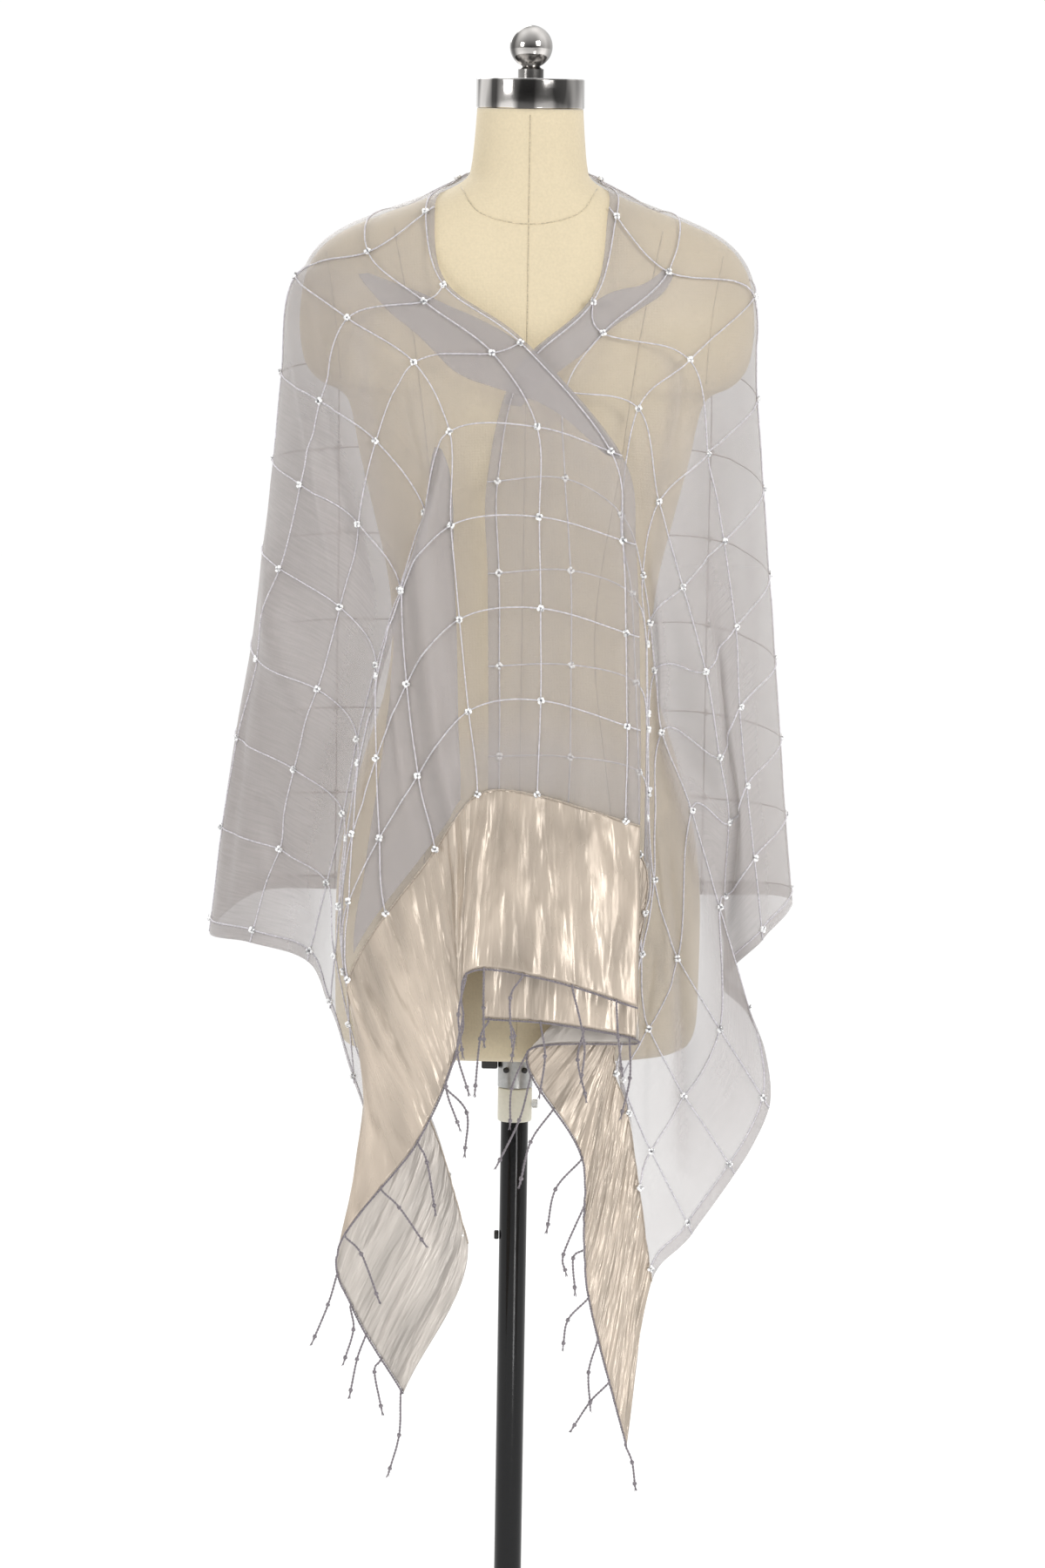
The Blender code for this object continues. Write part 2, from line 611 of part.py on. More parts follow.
def walled_grid(name, spots, columns, rows, wall, surface, collection):
    """Lofts the two skins of a wall through a grid of places, and closes its four edges.

    The skins stand off along the drape's own normals, so the rims of two stretches lie parallel
    at a seam. Both are split alike, so that they never cross where the cloth is pulled askew.
    """
    points = [place + outward * (wall / 2) for place, outward in spots]
    points += [place - outward * (wall / 2) for place, outward in spots]
    count = len(spots)
    faces = []
    for c in range(columns):
        for r in range(rows):
            a = c * (rows + 1) + r
            corners = (a, a + 1, a + rows + 2, a + rows + 1)
            for half in shorter_split(spots, corners):
                faces += [half, tuple(n + count for n in reversed(half))]
    rim = list(range(rows + 1))
    rim += [c * (rows + 1) + rows for c in range(1, columns + 1)]
    rim += [columns * (rows + 1) + r for r in range(rows - 1, -1, -1)]
    rim += [c * (rows + 1) for c in range(columns - 1, 0, -1)]
    for a, b in zip(rim, rim[1:] + rim[:1]):
        faces.append((a, b, b + count, a + count))
    return add_object(name, mesh_from(name, points, faces), surface, collection)


def make_tuck(name, rows_of_tuck, surface, drape, collection):
    """Cloth turned under the V of the neck, just behind its panel."""
    columns = 3 * (len(rows_of_tuck) - 1)
    rows = 3
    stops = list(range(len(rows_of_tuck)))
    spots = []
    for k in range(columns + 1):
        place = k / 3
        along = smooth_curve(stops, [row.along for row in rows_of_tuck], place)
        upper = smooth_curve(stops, [row.upper for row in rows_of_tuck], place)
        lower = smooth_curve(stops, [row.lower for row in rows_of_tuck], place)
        for across in spread(upper, lower, rows):
            place, outward = drape_place(drape, along, across)
            spots.append((place - outward * TUCK_BEHIND, outward))
    return walled_grid(name, spots, columns, rows, WALL, surface, collection)


def strand_route(root, away, strand):
    """Points down one twisted strand from its root in the strip."""
    forward = Vector((0.0, -strand.forward, 0.0))
    knot = root + Vector((strand.knot_side, 0.0, -strand.knot_drop)) + forward
    tip = root + Vector((strand.tip_side, 0.0, -strand.tip_drop)) + forward * 1.2
    start = root + away * 0.003 + forward * 0.4
    route = []
    for k in range(1, STRAND_STEPS + 1):
        route.append(smooth_curve([0.0, 0.12, 0.55, 1.0], [root, start, knot, tip], k / STRAND_STEPS))
    return route


def end_frames(side, drape):
    """At each row of the short end: its place, the way off the cloth, and the way out."""
    end = 0 if side < 0 else len(COLUMNS) - 1
    frames = []
    for r in range(len(ROWS)):
        away = off_the_rim(drape, end, end - side, r)
        frames.append((drape.points[end][r], away, drape.normals[end][r]))
    return frames


def end_frame(frames, across):
    """The same between two rows, straight from one to the next as the cloth's edge runs."""
    i = min(max(bisect_right(ROWS, across) - 1, 0), len(ROWS) - 2)
    t = (across - ROWS[i]) / (ROWS[i + 1] - ROWS[i])
    return [frames[i][n].lerp(frames[i + 1][n], t) for n in range(3)]


def root_place(strand):
    """Middle of a strand's root in the strip, kept between two rows of the cloth."""
    row = min(ROWS, key=lambda place: abs(place - strand.across))
    away = strand.across - row
    return row + math.copysign(max(abs(away), 0.8 * STRAND_WIDTH), away)


def make_fringe(name, side, strands, surface, drape, collection):
    """Strip along a short end with every strand growing out of it."""
    half = STRAND_WIDTH / 2
    roots = [root_place(strand) for strand in strands]
    places = sorted(ROWS + [root - half for root in roots] + [root + half for root in roots])
    frames = end_frames(side, drape)
    points = []
    for across in places:
        edge, away, normal = end_frame(frames, across)
        for out in (SEAM_GAP, SEAM_GAP + STRIP_WIDTH):
            for lift in (-WALL / 2, WALL / 2):
                points.append(edge + away * out + normal * lift)
    faces = [(0, 1, 3, 2)]
    last = 4 * (len(places) - 1)
    faces.append((last, last + 2, last + 3, last + 1))
    rooted = {places.index(root - half): strand for root, strand in zip(roots, strands)}
    for k in range(len(places) - 1):
        a = 4 * k
        b = a + 4
        faces += [(a, b, b + 1, a + 1), (a, a + 2, b + 2, b), (a + 1, b + 1, b + 3, a + 3)]
        if k not in rooted:
            faces.append((a + 2, a + 3, b + 3, b + 2))
            continue
        ring = [a + 2, a + 3, b + 3, b + 2]
        root = sum((points[n] for n in ring), Vector()) / 4
        course = (points[a + 2] - points[a]).normalized()
        across_axis = (points[b + 2] - points[a + 2]).normalized()
        depth_axis = (points[a + 3] - points[a + 2]).normalized()
        previous = root
        for place in strand_route(root, course, rooted[k]):
            turn = course.rotation_difference(place - previous)
            course = turn @ course
            across_axis = turn @ across_axis
            depth_axis = turn @ depth_axis
            new_ring = []
            for u, v in ((-1, -1), (-1, 1), (1, 1), (1, -1)):
                new_ring.append(len(points))
                points.append(place + (across_axis * u + depth_axis * v) * half)
            for n in range(4):
                m = (n + 1) % 4
                faces.append((ring[n], ring[m], new_ring[m], new_ring[n]))
            ring = new_ring
            previous = place
        faces.append(tuple(ring))
    return add_object(name, mesh_from(name, points, faces), surface, collection)


def form_surface(form):
    """The form as a surface that the cloth can be laid on."""
    shape = bmesh.new()
    shape.from_mesh(form.data)
    tree = BVHTree.FromBMesh(shape)
    shape.free()
    return tree


def main():
    for item in list(bpy.data.objects):
        bpy.data.objects.remove(item, do_unlink=True)
    collection = bpy.data.collections.new("fringed_shawl_on_dress_form")
    bpy.context.scene.collection.children.link(collection)

    steel = material("polished_steel", (0.62, 0.60, 0.58), 0.16, 1.0)
    grey_metal = material("grey_metal", (0.42, 0.42, 0.41), 0.35, 1.0)
    cream_plastic = material("cream_plastic", (0.72, 0.70, 0.60), 0.45)
    black_plastic = material("black_plastic", (0.012, 0.012, 0.012), 0.45)
    black_enamel = material("black_enamel", (0.008, 0.008, 0.009), 0.18)
    clear_plastic = material("clear_plastic", (0.75, 0.75, 0.74), 0.15)
    organza = material("lavender_organza", (0.52, 0.49, 0.56), 0.45, 0.0, 0.45)
    satin = material("champagne_satin", (0.72, 0.62, 0.53), 0.32)
    twist = material("grey_twist", (0.22, 0.19, 0.22), 0.65)

    drape = lay_drape(form_surface(make_form(collection)))
    make_neck_cap(collection, steel)
    make_finial(collection, steel)
    make_collar(collection, grey_metal)
    make_ferrule(collection, cream_plastic)
    make_pole(collection, black_enamel)
    make_base(collection, black_enamel)
    make_clamp(collection, black_plastic)
    side_knob("ferrule_knob", FERRULE_RADIUS, SMALL_KNOB_HEIGHT, 0.004, 0.005, 1, clear_plastic, collection)
    side_knob("pole_button", POLE_RADIUS, POLE_BUTTON_HEIGHT, 0.0042, 0.0042, -1, black_plastic, collection)

    make_cloth("shawl_back", -SIDE_SQUARES, SIDE_SQUARES, WALL, organza, drape, collection)
    make_cloth("shawl_front_left", -SEAM_SQUARES, -SIDE_SQUARES, WALL, organza, drape, collection)
    make_cloth("shawl_front_right", SIDE_SQUARES, SEAM_SQUARES, WALL, organza, drape, collection)
    make_cloth("end_band_left", -END_SQUARES, -SEAM_SQUARES, BAND_WALL, satin, drape, collection)
    make_cloth("end_band_right", SEAM_SQUARES, END_SQUARES, BAND_WALL, satin, drape, collection)
    make_tuck("neck_tuck_left", LEFT_TUCK, organza, drape, collection)
    make_tuck("neck_tuck_right", RIGHT_TUCK, organza, drape, collection)
    make_fringe("fringe_left", -1, LEFT_FRINGE, twist, drape, collection)
    make_fringe("fringe_right", 1, RIGHT_FRINGE, twist, drape, collection)


main()
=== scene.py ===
"""Looks of the sheer fringed shawl on its limbless dress form.

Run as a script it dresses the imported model: organza, satin ends, check threads, beads, hems,
knotted fringe, the padded form and its stand, then the floor, lights and camera.
The cloth is told by two coordinates, as it was cut:
  along   squares of its check from the centre back, minus to the viewer's left
  across  metres from the neck hem to the low hem
"""
import math
import random
from bisect import bisect_right
from collections import namedtuple
from functools import lru_cache

import bmesh
import bpy
import numpy as np
from mathutils import Matrix, Vector, noise
from mathutils.bvhtree import BVHTree


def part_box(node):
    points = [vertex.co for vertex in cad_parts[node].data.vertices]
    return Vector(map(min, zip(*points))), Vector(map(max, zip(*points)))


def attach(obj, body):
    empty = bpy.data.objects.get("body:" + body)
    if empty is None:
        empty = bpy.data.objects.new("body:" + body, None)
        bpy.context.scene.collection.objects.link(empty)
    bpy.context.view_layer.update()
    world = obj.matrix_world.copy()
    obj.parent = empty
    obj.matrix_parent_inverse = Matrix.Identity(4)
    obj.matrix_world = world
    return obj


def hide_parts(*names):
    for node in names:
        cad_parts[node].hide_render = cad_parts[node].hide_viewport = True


bl_info = {
    "name": "Fringed Shawl on Dress Form",
    "version": (1, 0, 0),
    "blender": (4, 5, 0),
    "location": "View3D > Sidebar > Shawl",
    "description": "Dresses the packed shawl and dress form with cloth, beads, fringe and finishes",
    "category": "Object",
}

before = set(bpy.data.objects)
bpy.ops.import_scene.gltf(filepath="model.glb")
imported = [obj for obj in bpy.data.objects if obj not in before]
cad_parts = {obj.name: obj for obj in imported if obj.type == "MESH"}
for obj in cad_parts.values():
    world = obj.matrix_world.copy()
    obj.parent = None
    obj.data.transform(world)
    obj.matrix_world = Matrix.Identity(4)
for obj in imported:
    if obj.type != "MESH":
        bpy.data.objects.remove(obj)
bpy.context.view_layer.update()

# Cloth, as cut
SQUARE = 0.083
HEM = 0.013
CHECK_LINES = 10
CLOTH_WIDTH = 2 * HEM + (CHECK_LINES - 1) * SQUARE
SEAM_SQUARES = 10
BAND_LENGTH = 0.170
END_SQUARES = SEAM_SQUARES + BAND_LENGTH / SQUARE
SIDE_SQUARES = 3

# Grid of the fine cloth
ORGANZA_STEP = 0.0042
SATIN_STEP = 0.0030
FORM_CLEAR = 0.0030
GATHER_LEAST = 0.75
GATHER_MOST = 1.9
GATHER_SOFTENING = 12

# Width of each stretch that shows; the rest of its cut is turned under in its folds
LEFT_FRONT_SHOWN = 0.600
RIGHT_FRONT_SHOWN = 0.480
LEFT_BAND_SHOWN = 0.570
RIGHT_BAND_SHOWN = 0.400

# Folded layers: how far behind their panel, how fine, and how close their threads lie
FOLD_NEAR = 0.0014
FOLD_FAR = 0.0021
FOLD_ROUND = 0.0006
FOLD_STEP = 0.006
FOLD_PLACES = 12
FOLD_CLOSENESS = 2.1

# Hems: (distance from the edge, depth behind the cloth) of each turn, and their stitches
HEM_LAYERS = ((0.0, 0.0003), (0.0001, 0.0008), (HEM * 0.5, 0.0008), (HEM, 0.0007))
STITCH_STEP = 0.006
STITCH_LENGTH = 0.003
STITCH_INSET = 0.0012
STITCH_LIFT = 0.0003
STITCH_RADIUS = 0.0002
HEM_THREAD_COLOUR = (0.34, 0.31, 0.33)

# Piping of the satin seams, check threads and beads
PIPING_SQUARES = 0.012
PIPING_LIFT = 0.0006
PIPING_RADIUS = 0.0007
THREAD_LIFT = 0.0005
THREAD_WANDER = 0.0008
BEADS_TOGETHER = 4
BEAD_LIFT = 0.0006

# Twisted fringe and its heading; the knot's sizes are in plies
END_REACH = 0.06
HEADING_OFFSET = 0.0014
HEADING_PITCH = 0.005
CORD_START = 0.003
CORD_PITCH = 0.006
CORD_STEPS = 36
TWIST_STEPS = 6
KNOT_STEPS = (20, 34)
KNOT_TURNS = 2.3
KNOT_REACH = 2.3
KNOT_LENGTH = 3.6
TUFT_HAIRS = 7
TUFT_SPLAY = 0.0016

# Floor, lamps and camera; a lamp's share is of the key power
FLOOR_REACH = 14.0
FLOOR_DROP = 0.0005
Lamp = namedtuple("Lamp", "name place width height share lights_cloth")
LAMPS = (
    Lamp("key_light", (2.6, -3.2, 2.8), 1.6, 1.6, 1.0, True),
    Lamp("fill_light", (-2.8, -2.4, 2.2), 1.2, 1.2, 0.4, True),
    Lamp("strip_light", (0.66, -1.7, 0.28), 0.30, 0.8, 0.07, False),
    Lamp("rear_light", (-1.2, 3.2, 3.0), 2.4, 2.4, 0.5, True),
)
LAMP_TARGET_TOP = 1.0
LENS = 91.8
SENSOR_HEIGHT = 24.0
CAMERA_PLACE = (-0.0109, -5.3436, 1.507)
CAMERA_TILT = math.radians(6.57)
CAMERA_YAW = -0.0025
CAMERA_ROLL = 0.0157

# Padded form
NECK_TOP = 1.4932
FORM_BOTTOM = 0.655
FORM_SIDES = 144
FORM_RING_STEP = 0.0045
RING_SQUARENESS = 2.4
SEAM_STEP = 0.006
SEAM_LIFT = 0.0001
# Seam welts are the cotton darkened by this factor: painted shade along the seams
SEAM_PAINTED_SHADE = 0.80

FormRing = namedtuple("FormRing", "height half_width front back")
FORM_RINGS = (
    FormRing(NECK_TOP, 0.0470, 0.0470, 0.0470),
    FormRing(1.465, 0.0490, 0.0490, 0.0490),
    FormRing(1.442, 0.0515, 0.0515, 0.0525),
    FormRing(1.432, 0.0550, 0.0540, 0.0560),
    FormRing(1.422, 0.0700, 0.0570, 0.0600),
    FormRing(1.410, 0.0990, 0.0610, 0.0660),
    FormRing(1.398, 0.1310, 0.0650, 0.0720),
    FormRing(1.385, 0.1610, 0.0700, 0.0790),
    FormRing(1.370, 0.1820, 0.0760, 0.0860),
    FormRing(1.348, 0.1960, 0.0840, 0.0930),
    FormRing(1.310, 0.2020, 0.0940, 0.1010),
    FormRing(1.280, 0.2000, 0.1010, 0.1040),
    FormRing(1.262, 0.1940, 0.1060, 0.1050),
    FormRing(1.250, 0.1820, 0.1090, 0.1050),
    FormRing(1.243, 0.1660, 0.1110, 0.1050),
    FormRing(1.232, 0.1570, 0.1140, 0.1040),
    FormRing(1.187, 0.1470, 0.1220, 0.1010),
    FormRing(1.135, 0.1340, 0.1120, 0.0930),
    FormRing(1.080, 0.1210, 0.0970, 0.0860),
    FormRing(1.029, 0.1160, 0.0880, 0.0820),
    FormRing(0.975, 0.1220, 0.0910, 0.0880),
    FormRing(0.915, 0.1400, 0.1000, 0.1010),
    FormRing(0.855, 0.1560, 0.1090, 0.1130),
    FormRing(0.800, 0.1630, 0.1130, 0.1180),
    FormRing(0.700, 0.1630, 0.1130, 0.1160),
    FormRing(0.674, 0.1610, 0.1110, 0.1130),
    FormRing(0.660, 0.1550, 0.1060, 0.1080),
    FormRing(FORM_BOTTOM, 0.1460, 0.0970, 0.0990),
)

# A line's place is (x, y, z).
Section = namedtuple("Section", "squares neck_hem line_2 line_3 line_4 line_6 line_7 line_8 low_hem")

BACK_SECTIONS = (
    Section(0, (0, .062, 1.444), (0, .092, 1.398), (0, .112, 1.335), (0, .121, 1.262),
            (0, .127, 1.107), (0, .129, 1.028), (0, .130, .947), (0, .132, .779)),
    Section(1, (.032, .053, 1.441), (.060, .082, 1.400), (.077, .105, 1.335), (.083, .116, 1.262),
            (.084, .124, 1.107), (.084, .126, 1.028), (.084, .128, .947), (.084, .130, .779)),
    Section(2, (.055, .028, 1.434), (.112, .040, 1.402), (.160, .066, 1.348), (.168, .088, 1.264),
            (.168, .101, 1.107), (.168, .104, 1.028), (.168, .108, .947), (.168, .114, .779)),
)

LEFT_SECTIONS = (
    Section(3, (-.080, -.045, 1.400), (-.140, -.060, 1.366), (-.205, -.020, 1.343), (-.2175, 0, 1.257),
            (-.229, .025, 1.104), (-.233, .042, 1.026), (-.236, .060, .945), (-.237, .086, .779)),
    Section(4, (-.071, -.096, 1.342), (-.090, -.094, 1.325), (-.157, -.080, 1.309), (-.181, -.082, 1.236),
            (-.213, -.075, 1.087), (-.2345, -.055, 1.006), (-.2525, -.025, .932), (-.277, 0, .754)),
    Section(5, (-.002, -.118, 1.293), (-.030, -.118, 1.282), (-.098, -.112, 1.272), (-.130, -.118, 1.204),
            (-.160, -.114, 1.058), (-.178, -.105, .985), (-.199, -.092, .912), (-.238, -.068, .754)),
    Section(6, (.084, -.145, 1.196), (.010, -.148, 1.220), (-.066, -.140, 1.214), (-.088, -.138, 1.144),
            (-.127, -.116, 1.008), (-.143, -.104, .941), (-.155, -.094, .874), (-.186, -.082, .740)),
    Section(7, (.097, -.158, 1.120), (.013, -.160, 1.143), (-.063, -.155, 1.134), (-.105, -.150, 1.076),
            (-.141, -.142, .924), (-.151, -.136, .857), (-.157, -.122, .795), (-.165, -.092, .700)),
    Section(9, (.104, -.165, .959), (.017, -.168, .984), (-.046, -.162, .973), (-.089, -.160, .916),
            (-.148, -.146, .803), (-.152, -.128, .738), (-.134, -.112, .682), (-.112, -.096, .562)),
    Section(SEAM_SQUARES, (.105, -.165, .876), (.015, -.168, .902), (-.037, -.163, .901),
            (-.073, -.160, .852), (-.148, -.146, .734), (-.124, -.126, .672), (-.077, -.116, .610),
            (-.040, -.108, .494)),
    Section(END_SQUARES, (.106, -.163, .716), (.024, -.168, .741), (-.043, -.165, .745),
            (-.048, -.156, .690), (-.087, -.150, .590), (-.153, -.136, .497), (-.142, -.120, .440),
            (-.095, -.116, .360)),
)

RIGHT_SECTIONS = (
    Section(3, (.067, -.046, 1.400), (.122, -.068, 1.352), (.194, -.020, 1.330), (.205, -.012, 1.240),
            (.219, 0, 1.084), (.226, .004, 1.008), (.2325, .006, .937), (.2455, .008, .790)),
    Section(4, (.056, -.097, 1.331), (.066, -.098, 1.300), (.142, -.096, 1.277), (.160, -.107, 1.197),
            (.186, -.103, 1.045), (.192, -.098, .974), (.200, -.086, .903), (.217, -.058, .762)),
    Section(5, (-.010, -.112, 1.266), (.034, -.122, 1.250), (.098, -.122, 1.236), (.117, -.130, 1.156),
            (.161, -.118, 1.007), (.175, -.104, .930), (.186, -.084, .868), (.184, -.054, .722)),
    Section(6, (-.033, -.137, 1.171), (.035, -.138, 1.175), (.085, -.134, 1.144), (.104, -.128, 1.091),
            (.116, -.112, 1.008), (.122, -.103, .953), (.150, -.097, .882), (.211, -.088, .692)),
    Section(7, (-.031, -.147, 1.092), (.041, -.149, 1.096), (.094, -.144, 1.076), (.108, -.134, 1.031),
            (.112, -.117, .902), (.119, -.108, .821), (.143, -.102, .750), (.226, -.078, .614)),
    Section(9, (-.028, -.152, .933), (.043, -.154, .934), (.103, -.150, .921), (.110, -.138, .879),
            (.107, -.123, .773), (.098, -.116, .703), (.094, -.111, .643), (.159, -.098, .503)),
    Section(SEAM_SQUARES, (-.028, -.152, .866), (.041, -.154, .864), (.105, -.151, .849),
            (.111, -.140, .796), (.090, -.127, .690), (.088, -.120, .650), (.100, -.115, .614),
            (.124, -.106, .462)),
    Section(END_SQUARES, (-.030, -.152, .703), (.037, -.155, .699), (.108, -.152, .684),
            (.012, -.134, .672), (.060, -.130, .577), (.063, -.126, .510), (.068, -.121, .451),
            (.104, -.112, .314)),
)

# Largest soft folds: a trough, or with a minus lift a ridge, along a straight line of the cloth
Fold = namedtuple("Fold", "along across to_along to_across half_width lift")
FOLDS = (
    Fold(-6.4, .225, -11.8, .225, .017, -.011),
    Fold(-4.2, .300, -5.6, .420, .022, .009),
    Fold(-3.6, .430, -5.2, .560, .022, -.009),
    Fold(-4.4, .620, -5.8, .740, .018, .009),
    Fold(-8.2, .060, -11.6, .045, .014, -.005),
    Fold(4.3, .330, 5.0, .700, .018, .010),
    Fold(5.6, .300, 6.2, .640, .016, -.009),
    Fold(6.7, .560, 8.6, .720, .016, .008),
    Fold(7.2, .090, 11.4, .100, .016, -.005),
    Fold(-1.4, .330, -1.5, .760, .024, .007),
    Fold(-.2, .300, .1, .770, .026, -.006),
    Fold(1.3, .330, 1.5, .760, .024, .007),
)

# Turned-under cloth along the V of the neck: a row for each place, with its two edges
Tuck = namedtuple("Tuck", "along upper lower")
LEFT_TUCK = (
    Tuck(-3.35, .112, .122), Tuck(-3.65, .098, .132), Tuck(-4.0, .078, .140), Tuck(-4.45, .048, .146),
    Tuck(-4.95, .018, .152), Tuck(-5.3, .004, .146), Tuck(-5.5, .003, .122), Tuck(-5.75, .003, .060),
    Tuck(-6.05, .003, .022),
)
RIGHT_TUCK = (
    Tuck(3.0, .090, .102), Tuck(3.3, .080, .106), Tuck(3.5, .064, .104), Tuck(3.85, .034, .100),
    Tuck(4.15, .006, .096), Tuck(4.5, .003, .088), Tuck(4.9, .003, .066), Tuck(5.3, .003, .030),
)

# Deep pleat that lies flat behind the left panel
LEFT_PLEAT = (
    Tuck(-5.9, .208, .226), Tuck(-6.2, .190, .300), Tuck(-6.8, .177, .300), Tuck(-7.4, .180, .286),
    Tuck(-8.0, .183, .322), Tuck(-8.65, .189, .366), Tuck(-9.4, .198, .394), Tuck(-9.9, .207, .405),
)

# Twisted fringe: where it leaves the end, and its knot and tip from there, sideways and down
Strand = namedtuple("Strand", "across forward knot_side knot_drop tip_side tip_drop")
LEFT_FRINGE = (
    Strand(.022, .005, .002, .032, .006, .064), Strand(.067, .005, .011, .050, .009, .082),
    Strand(.118, .005, -.010, .021, -.008, .061), Strand(.156, .005, .000, .034, .001, .066),
    Strand(.183, .020, -.006, .033, -.002, .068), Strand(.235, .014, -.004, .034, .006, .069),
    Strand(.290, .009, -.008, .030, .004, .066), Strand(.345, .003, .020, .024, .019, .060),
    Strand(.425, .006, .009, .018, .017, .062), Strand(.465, .014, .016, .016, .039, .048),
    Strand(.500, .018, .014, .016, .030, .056), Strand(.545, .004, -.008, .028, -.021, .061),
    Strand(.594, .005, .002, .022, -.006, .051), Strand(.650, .006, -.008, .022, -.014, .054),
    Strand(.700, .005, -.006, .012, .001, .047), Strand(.768, .003, -.002, .040, -.011, .075),
)
RIGHT_FRINGE = (
    Strand(.008, .003, -.007, .018, -.011, .066), Strand(.036, .004, .004, .014, .002, .034),
    Strand(.075, .004, .004, .030, .000, .064), Strand(.118, .004, -.005, .028, .003, .062),
    Strand(.155, .004, .001, .036, -.006, .070), Strand(.262, .003, -.015, .034, -.016, .067),
    Strand(.310, .003, -.011, .039, -.030, .080), Strand(.360, .003, -.020, .030, -.029, .068),
    Strand(.428, .003, -.023, .029, -.030, .065), Strand(.480, .003, -.018, .046, -.016, .062),
    Strand(.530, .006, -.010, .010, -.008, .040), Strand(.594, .003, -.018, .022, -.022, .046),
    Strand(.645, .006, -.008, .030, -.006, .062), Strand(.695, .003, -.016, .019, -.032, .044),
    Strand(.768, .004, .006, .018, .009, .040),
)

# Finer creases of the sheer cloth, on top of the folds
CREASES = (
    Fold(-3.4, .150, -4.6, .330, .007, .0030),
    Fold(-3.2, .210, -4.9, .420, .006, -.0026),
    Fold(-4.6, .180, -6.6, .300, .008, .0034),
    Fold(-5.0, .150, -7.2, .235, .007, -.0030),
    Fold(-5.6, .340, -8.4, .400, .008, .0030),
    Fold(-6.8, .100, -9.8, .130, .006, .0022),
    Fold(-6.6, .300, -9.6, .290, .007, -.0028),
    Fold(-4.0, .520, -4.4, .740, .009, .0034),
    Fold(-3.1, .560, -3.4, .760, .009, -.0030),
    Fold(-2.3, .300, -2.6, .740, .009, .0030),
    Fold(-.8, .200, -.7, .700, .010, -.0030),
    Fold(.7, .240, .6, .740, .010, .0032),
    Fold(2.2, .280, 2.4, .720, .008, -.0028),
    Fold(3.4, .140, 4.4, .360, .007, .0030),
    Fold(3.8, .130, 5.2, .300, .007, -.0028),
    Fold(4.6, .420, 5.2, .740, .008, .0030),
    Fold(5.2, .160, 7.4, .200, .007, .0026),
    Fold(6.2, .480, 7.8, .640, .008, -.0030),
    Fold(7.4, .540, 9.4, .690, .008, .0030),
)

# Soft bands where the cloth lies gathered or doubled, or with a minus lift is pulled thin
DOUBLED = (
    Fold(-5.0, .215, -6.6, .230, .030, .3),
    Fold(-6.0, .140, -10.4, .135, .024, -.45),
    Fold(-4.2, .285, -5.6, .405, .010, .7), Fold(-3.6, .445, -5.2, .575, .010, .7),
    Fold(-4.4, .605, -5.8, .725, .010, .6), Fold(-3.2, .330, -3.5, .700, .012, .6),
    Fold(-3.9, .140, -5.2, .300, .009, .4), Fold(-5.2, .330, -7.6, .380, .009, .5),
    Fold(4.3, .330, 5.0, .700, .010, .7), Fold(5.6, .300, 6.2, .640, .010, .8),
    Fold(6.7, .560, 8.6, .720, .010, .7), Fold(3.5, .300, 3.9, .740, .010, .5),
    Fold(3.8, .120, 5.1, .280, .009, .4), Fold(5.2, .660, 6.2, .750, .012, .6),
    Fold(-3.5, .200, -4.6, 1.10, .115, 2.8),
    Fold(-4.1, .420, -4.7, 1.00, .050, .4),
    Fold(-2.7, .200, -2.5, 1.10, .120, .7),
    Fold(-6.0, .400, -8.0, .520, .060, .8),
    Fold(-9.6, -.02, -9.7, .210, .034, 1.1),
    Fold(-4.4, .350, -5.6, .420, .020, .8),
    Fold(3.4, .160, 4.7, 1.10, .140, 1.0),
    Fold(4.8, .660, 8.8, .740, .075, 1.0),
    Fold(4.1, .400, 4.4, .800, .035, .6),
    Fold(5.8, .560, 6.1, .640, .060, .5),
    Fold(3.3, .200, 4.0, .330, .030, .35),
    Fold(5.4, .300, 6.0, .560, .030, .45),
    Fold(5.2, .120, 9.8, .120, .060, -.50),
    Fold(3.2, .080, 5.2, .200, .060, -.45),
    Fold(-3.2, .060, -4.6, .180, .050, -.30),
    Fold(-1.6, .300, -1.9, .740, .035, .30),
    Fold(.4, .260, .2, .740, .040, .30),
    Fold(1.9, .300, 2.1, .740, .035, .30),
)


def line_place(number):
    """Metres from the neck hem to one line of the check."""
    return HEM + (number - 1) * SQUARE


ACROSS_STOPS = (0.0, line_place(2), line_place(3), line_place(4), line_place(6), line_place(7),
                line_place(8), CLOTH_WIDTH)


def spread(start, end, count):
    """Even places from start to end."""
    return [start + (end - start) * k / count for k in range(count + 1)]


def smooth_curve(stops, values, place):
    """Cubic curve through values at uneven stops; a value may be a whole row of points."""
    last = len(stops) - 1
    i = min(max(bisect_right(stops, place) - 1, 0), last - 1)
    step = stops[i + 1] - stops[i]

    def slope(k):
        low = max(k - 1, 0)
        high = min(k + 1, last)
        return (values[high] - values[low]) / (stops[high] - stops[low])

    t = (place - stops[i]) / step
    near = (2 * t ** 3 - 3 * t ** 2 + 1) * values[i] + (t ** 3 - 2 * t ** 2 + t) * step * slope(i)
    far = (3 * t ** 2 - 2 * t ** 3) * values[i + 1] + (t ** 3 - t ** 2) * step * slope(i + 1)
    return near + far


def flipped(section):
    """The same section on the other side of the body."""
    return Section(section.squares, *((-x, y, z) for x, y, z in section[1:]))


def all_sections():
    """Every section from the viewer's left end to the right end, with its signed place."""
    rows = [(-row.squares, row) for row in LEFT_SECTIONS]
    rows += [(-row.squares, flipped(row)) for row in BACK_SECTIONS]
    rows += [(row.squares, row) for row in BACK_SECTIONS[1:]]
    rows += [(row.squares, row) for row in RIGHT_SECTIONS]
    rows.sort(key=lambda row: row[0])
    return [place for place, row in rows], [row[1:] for place, row in rows]


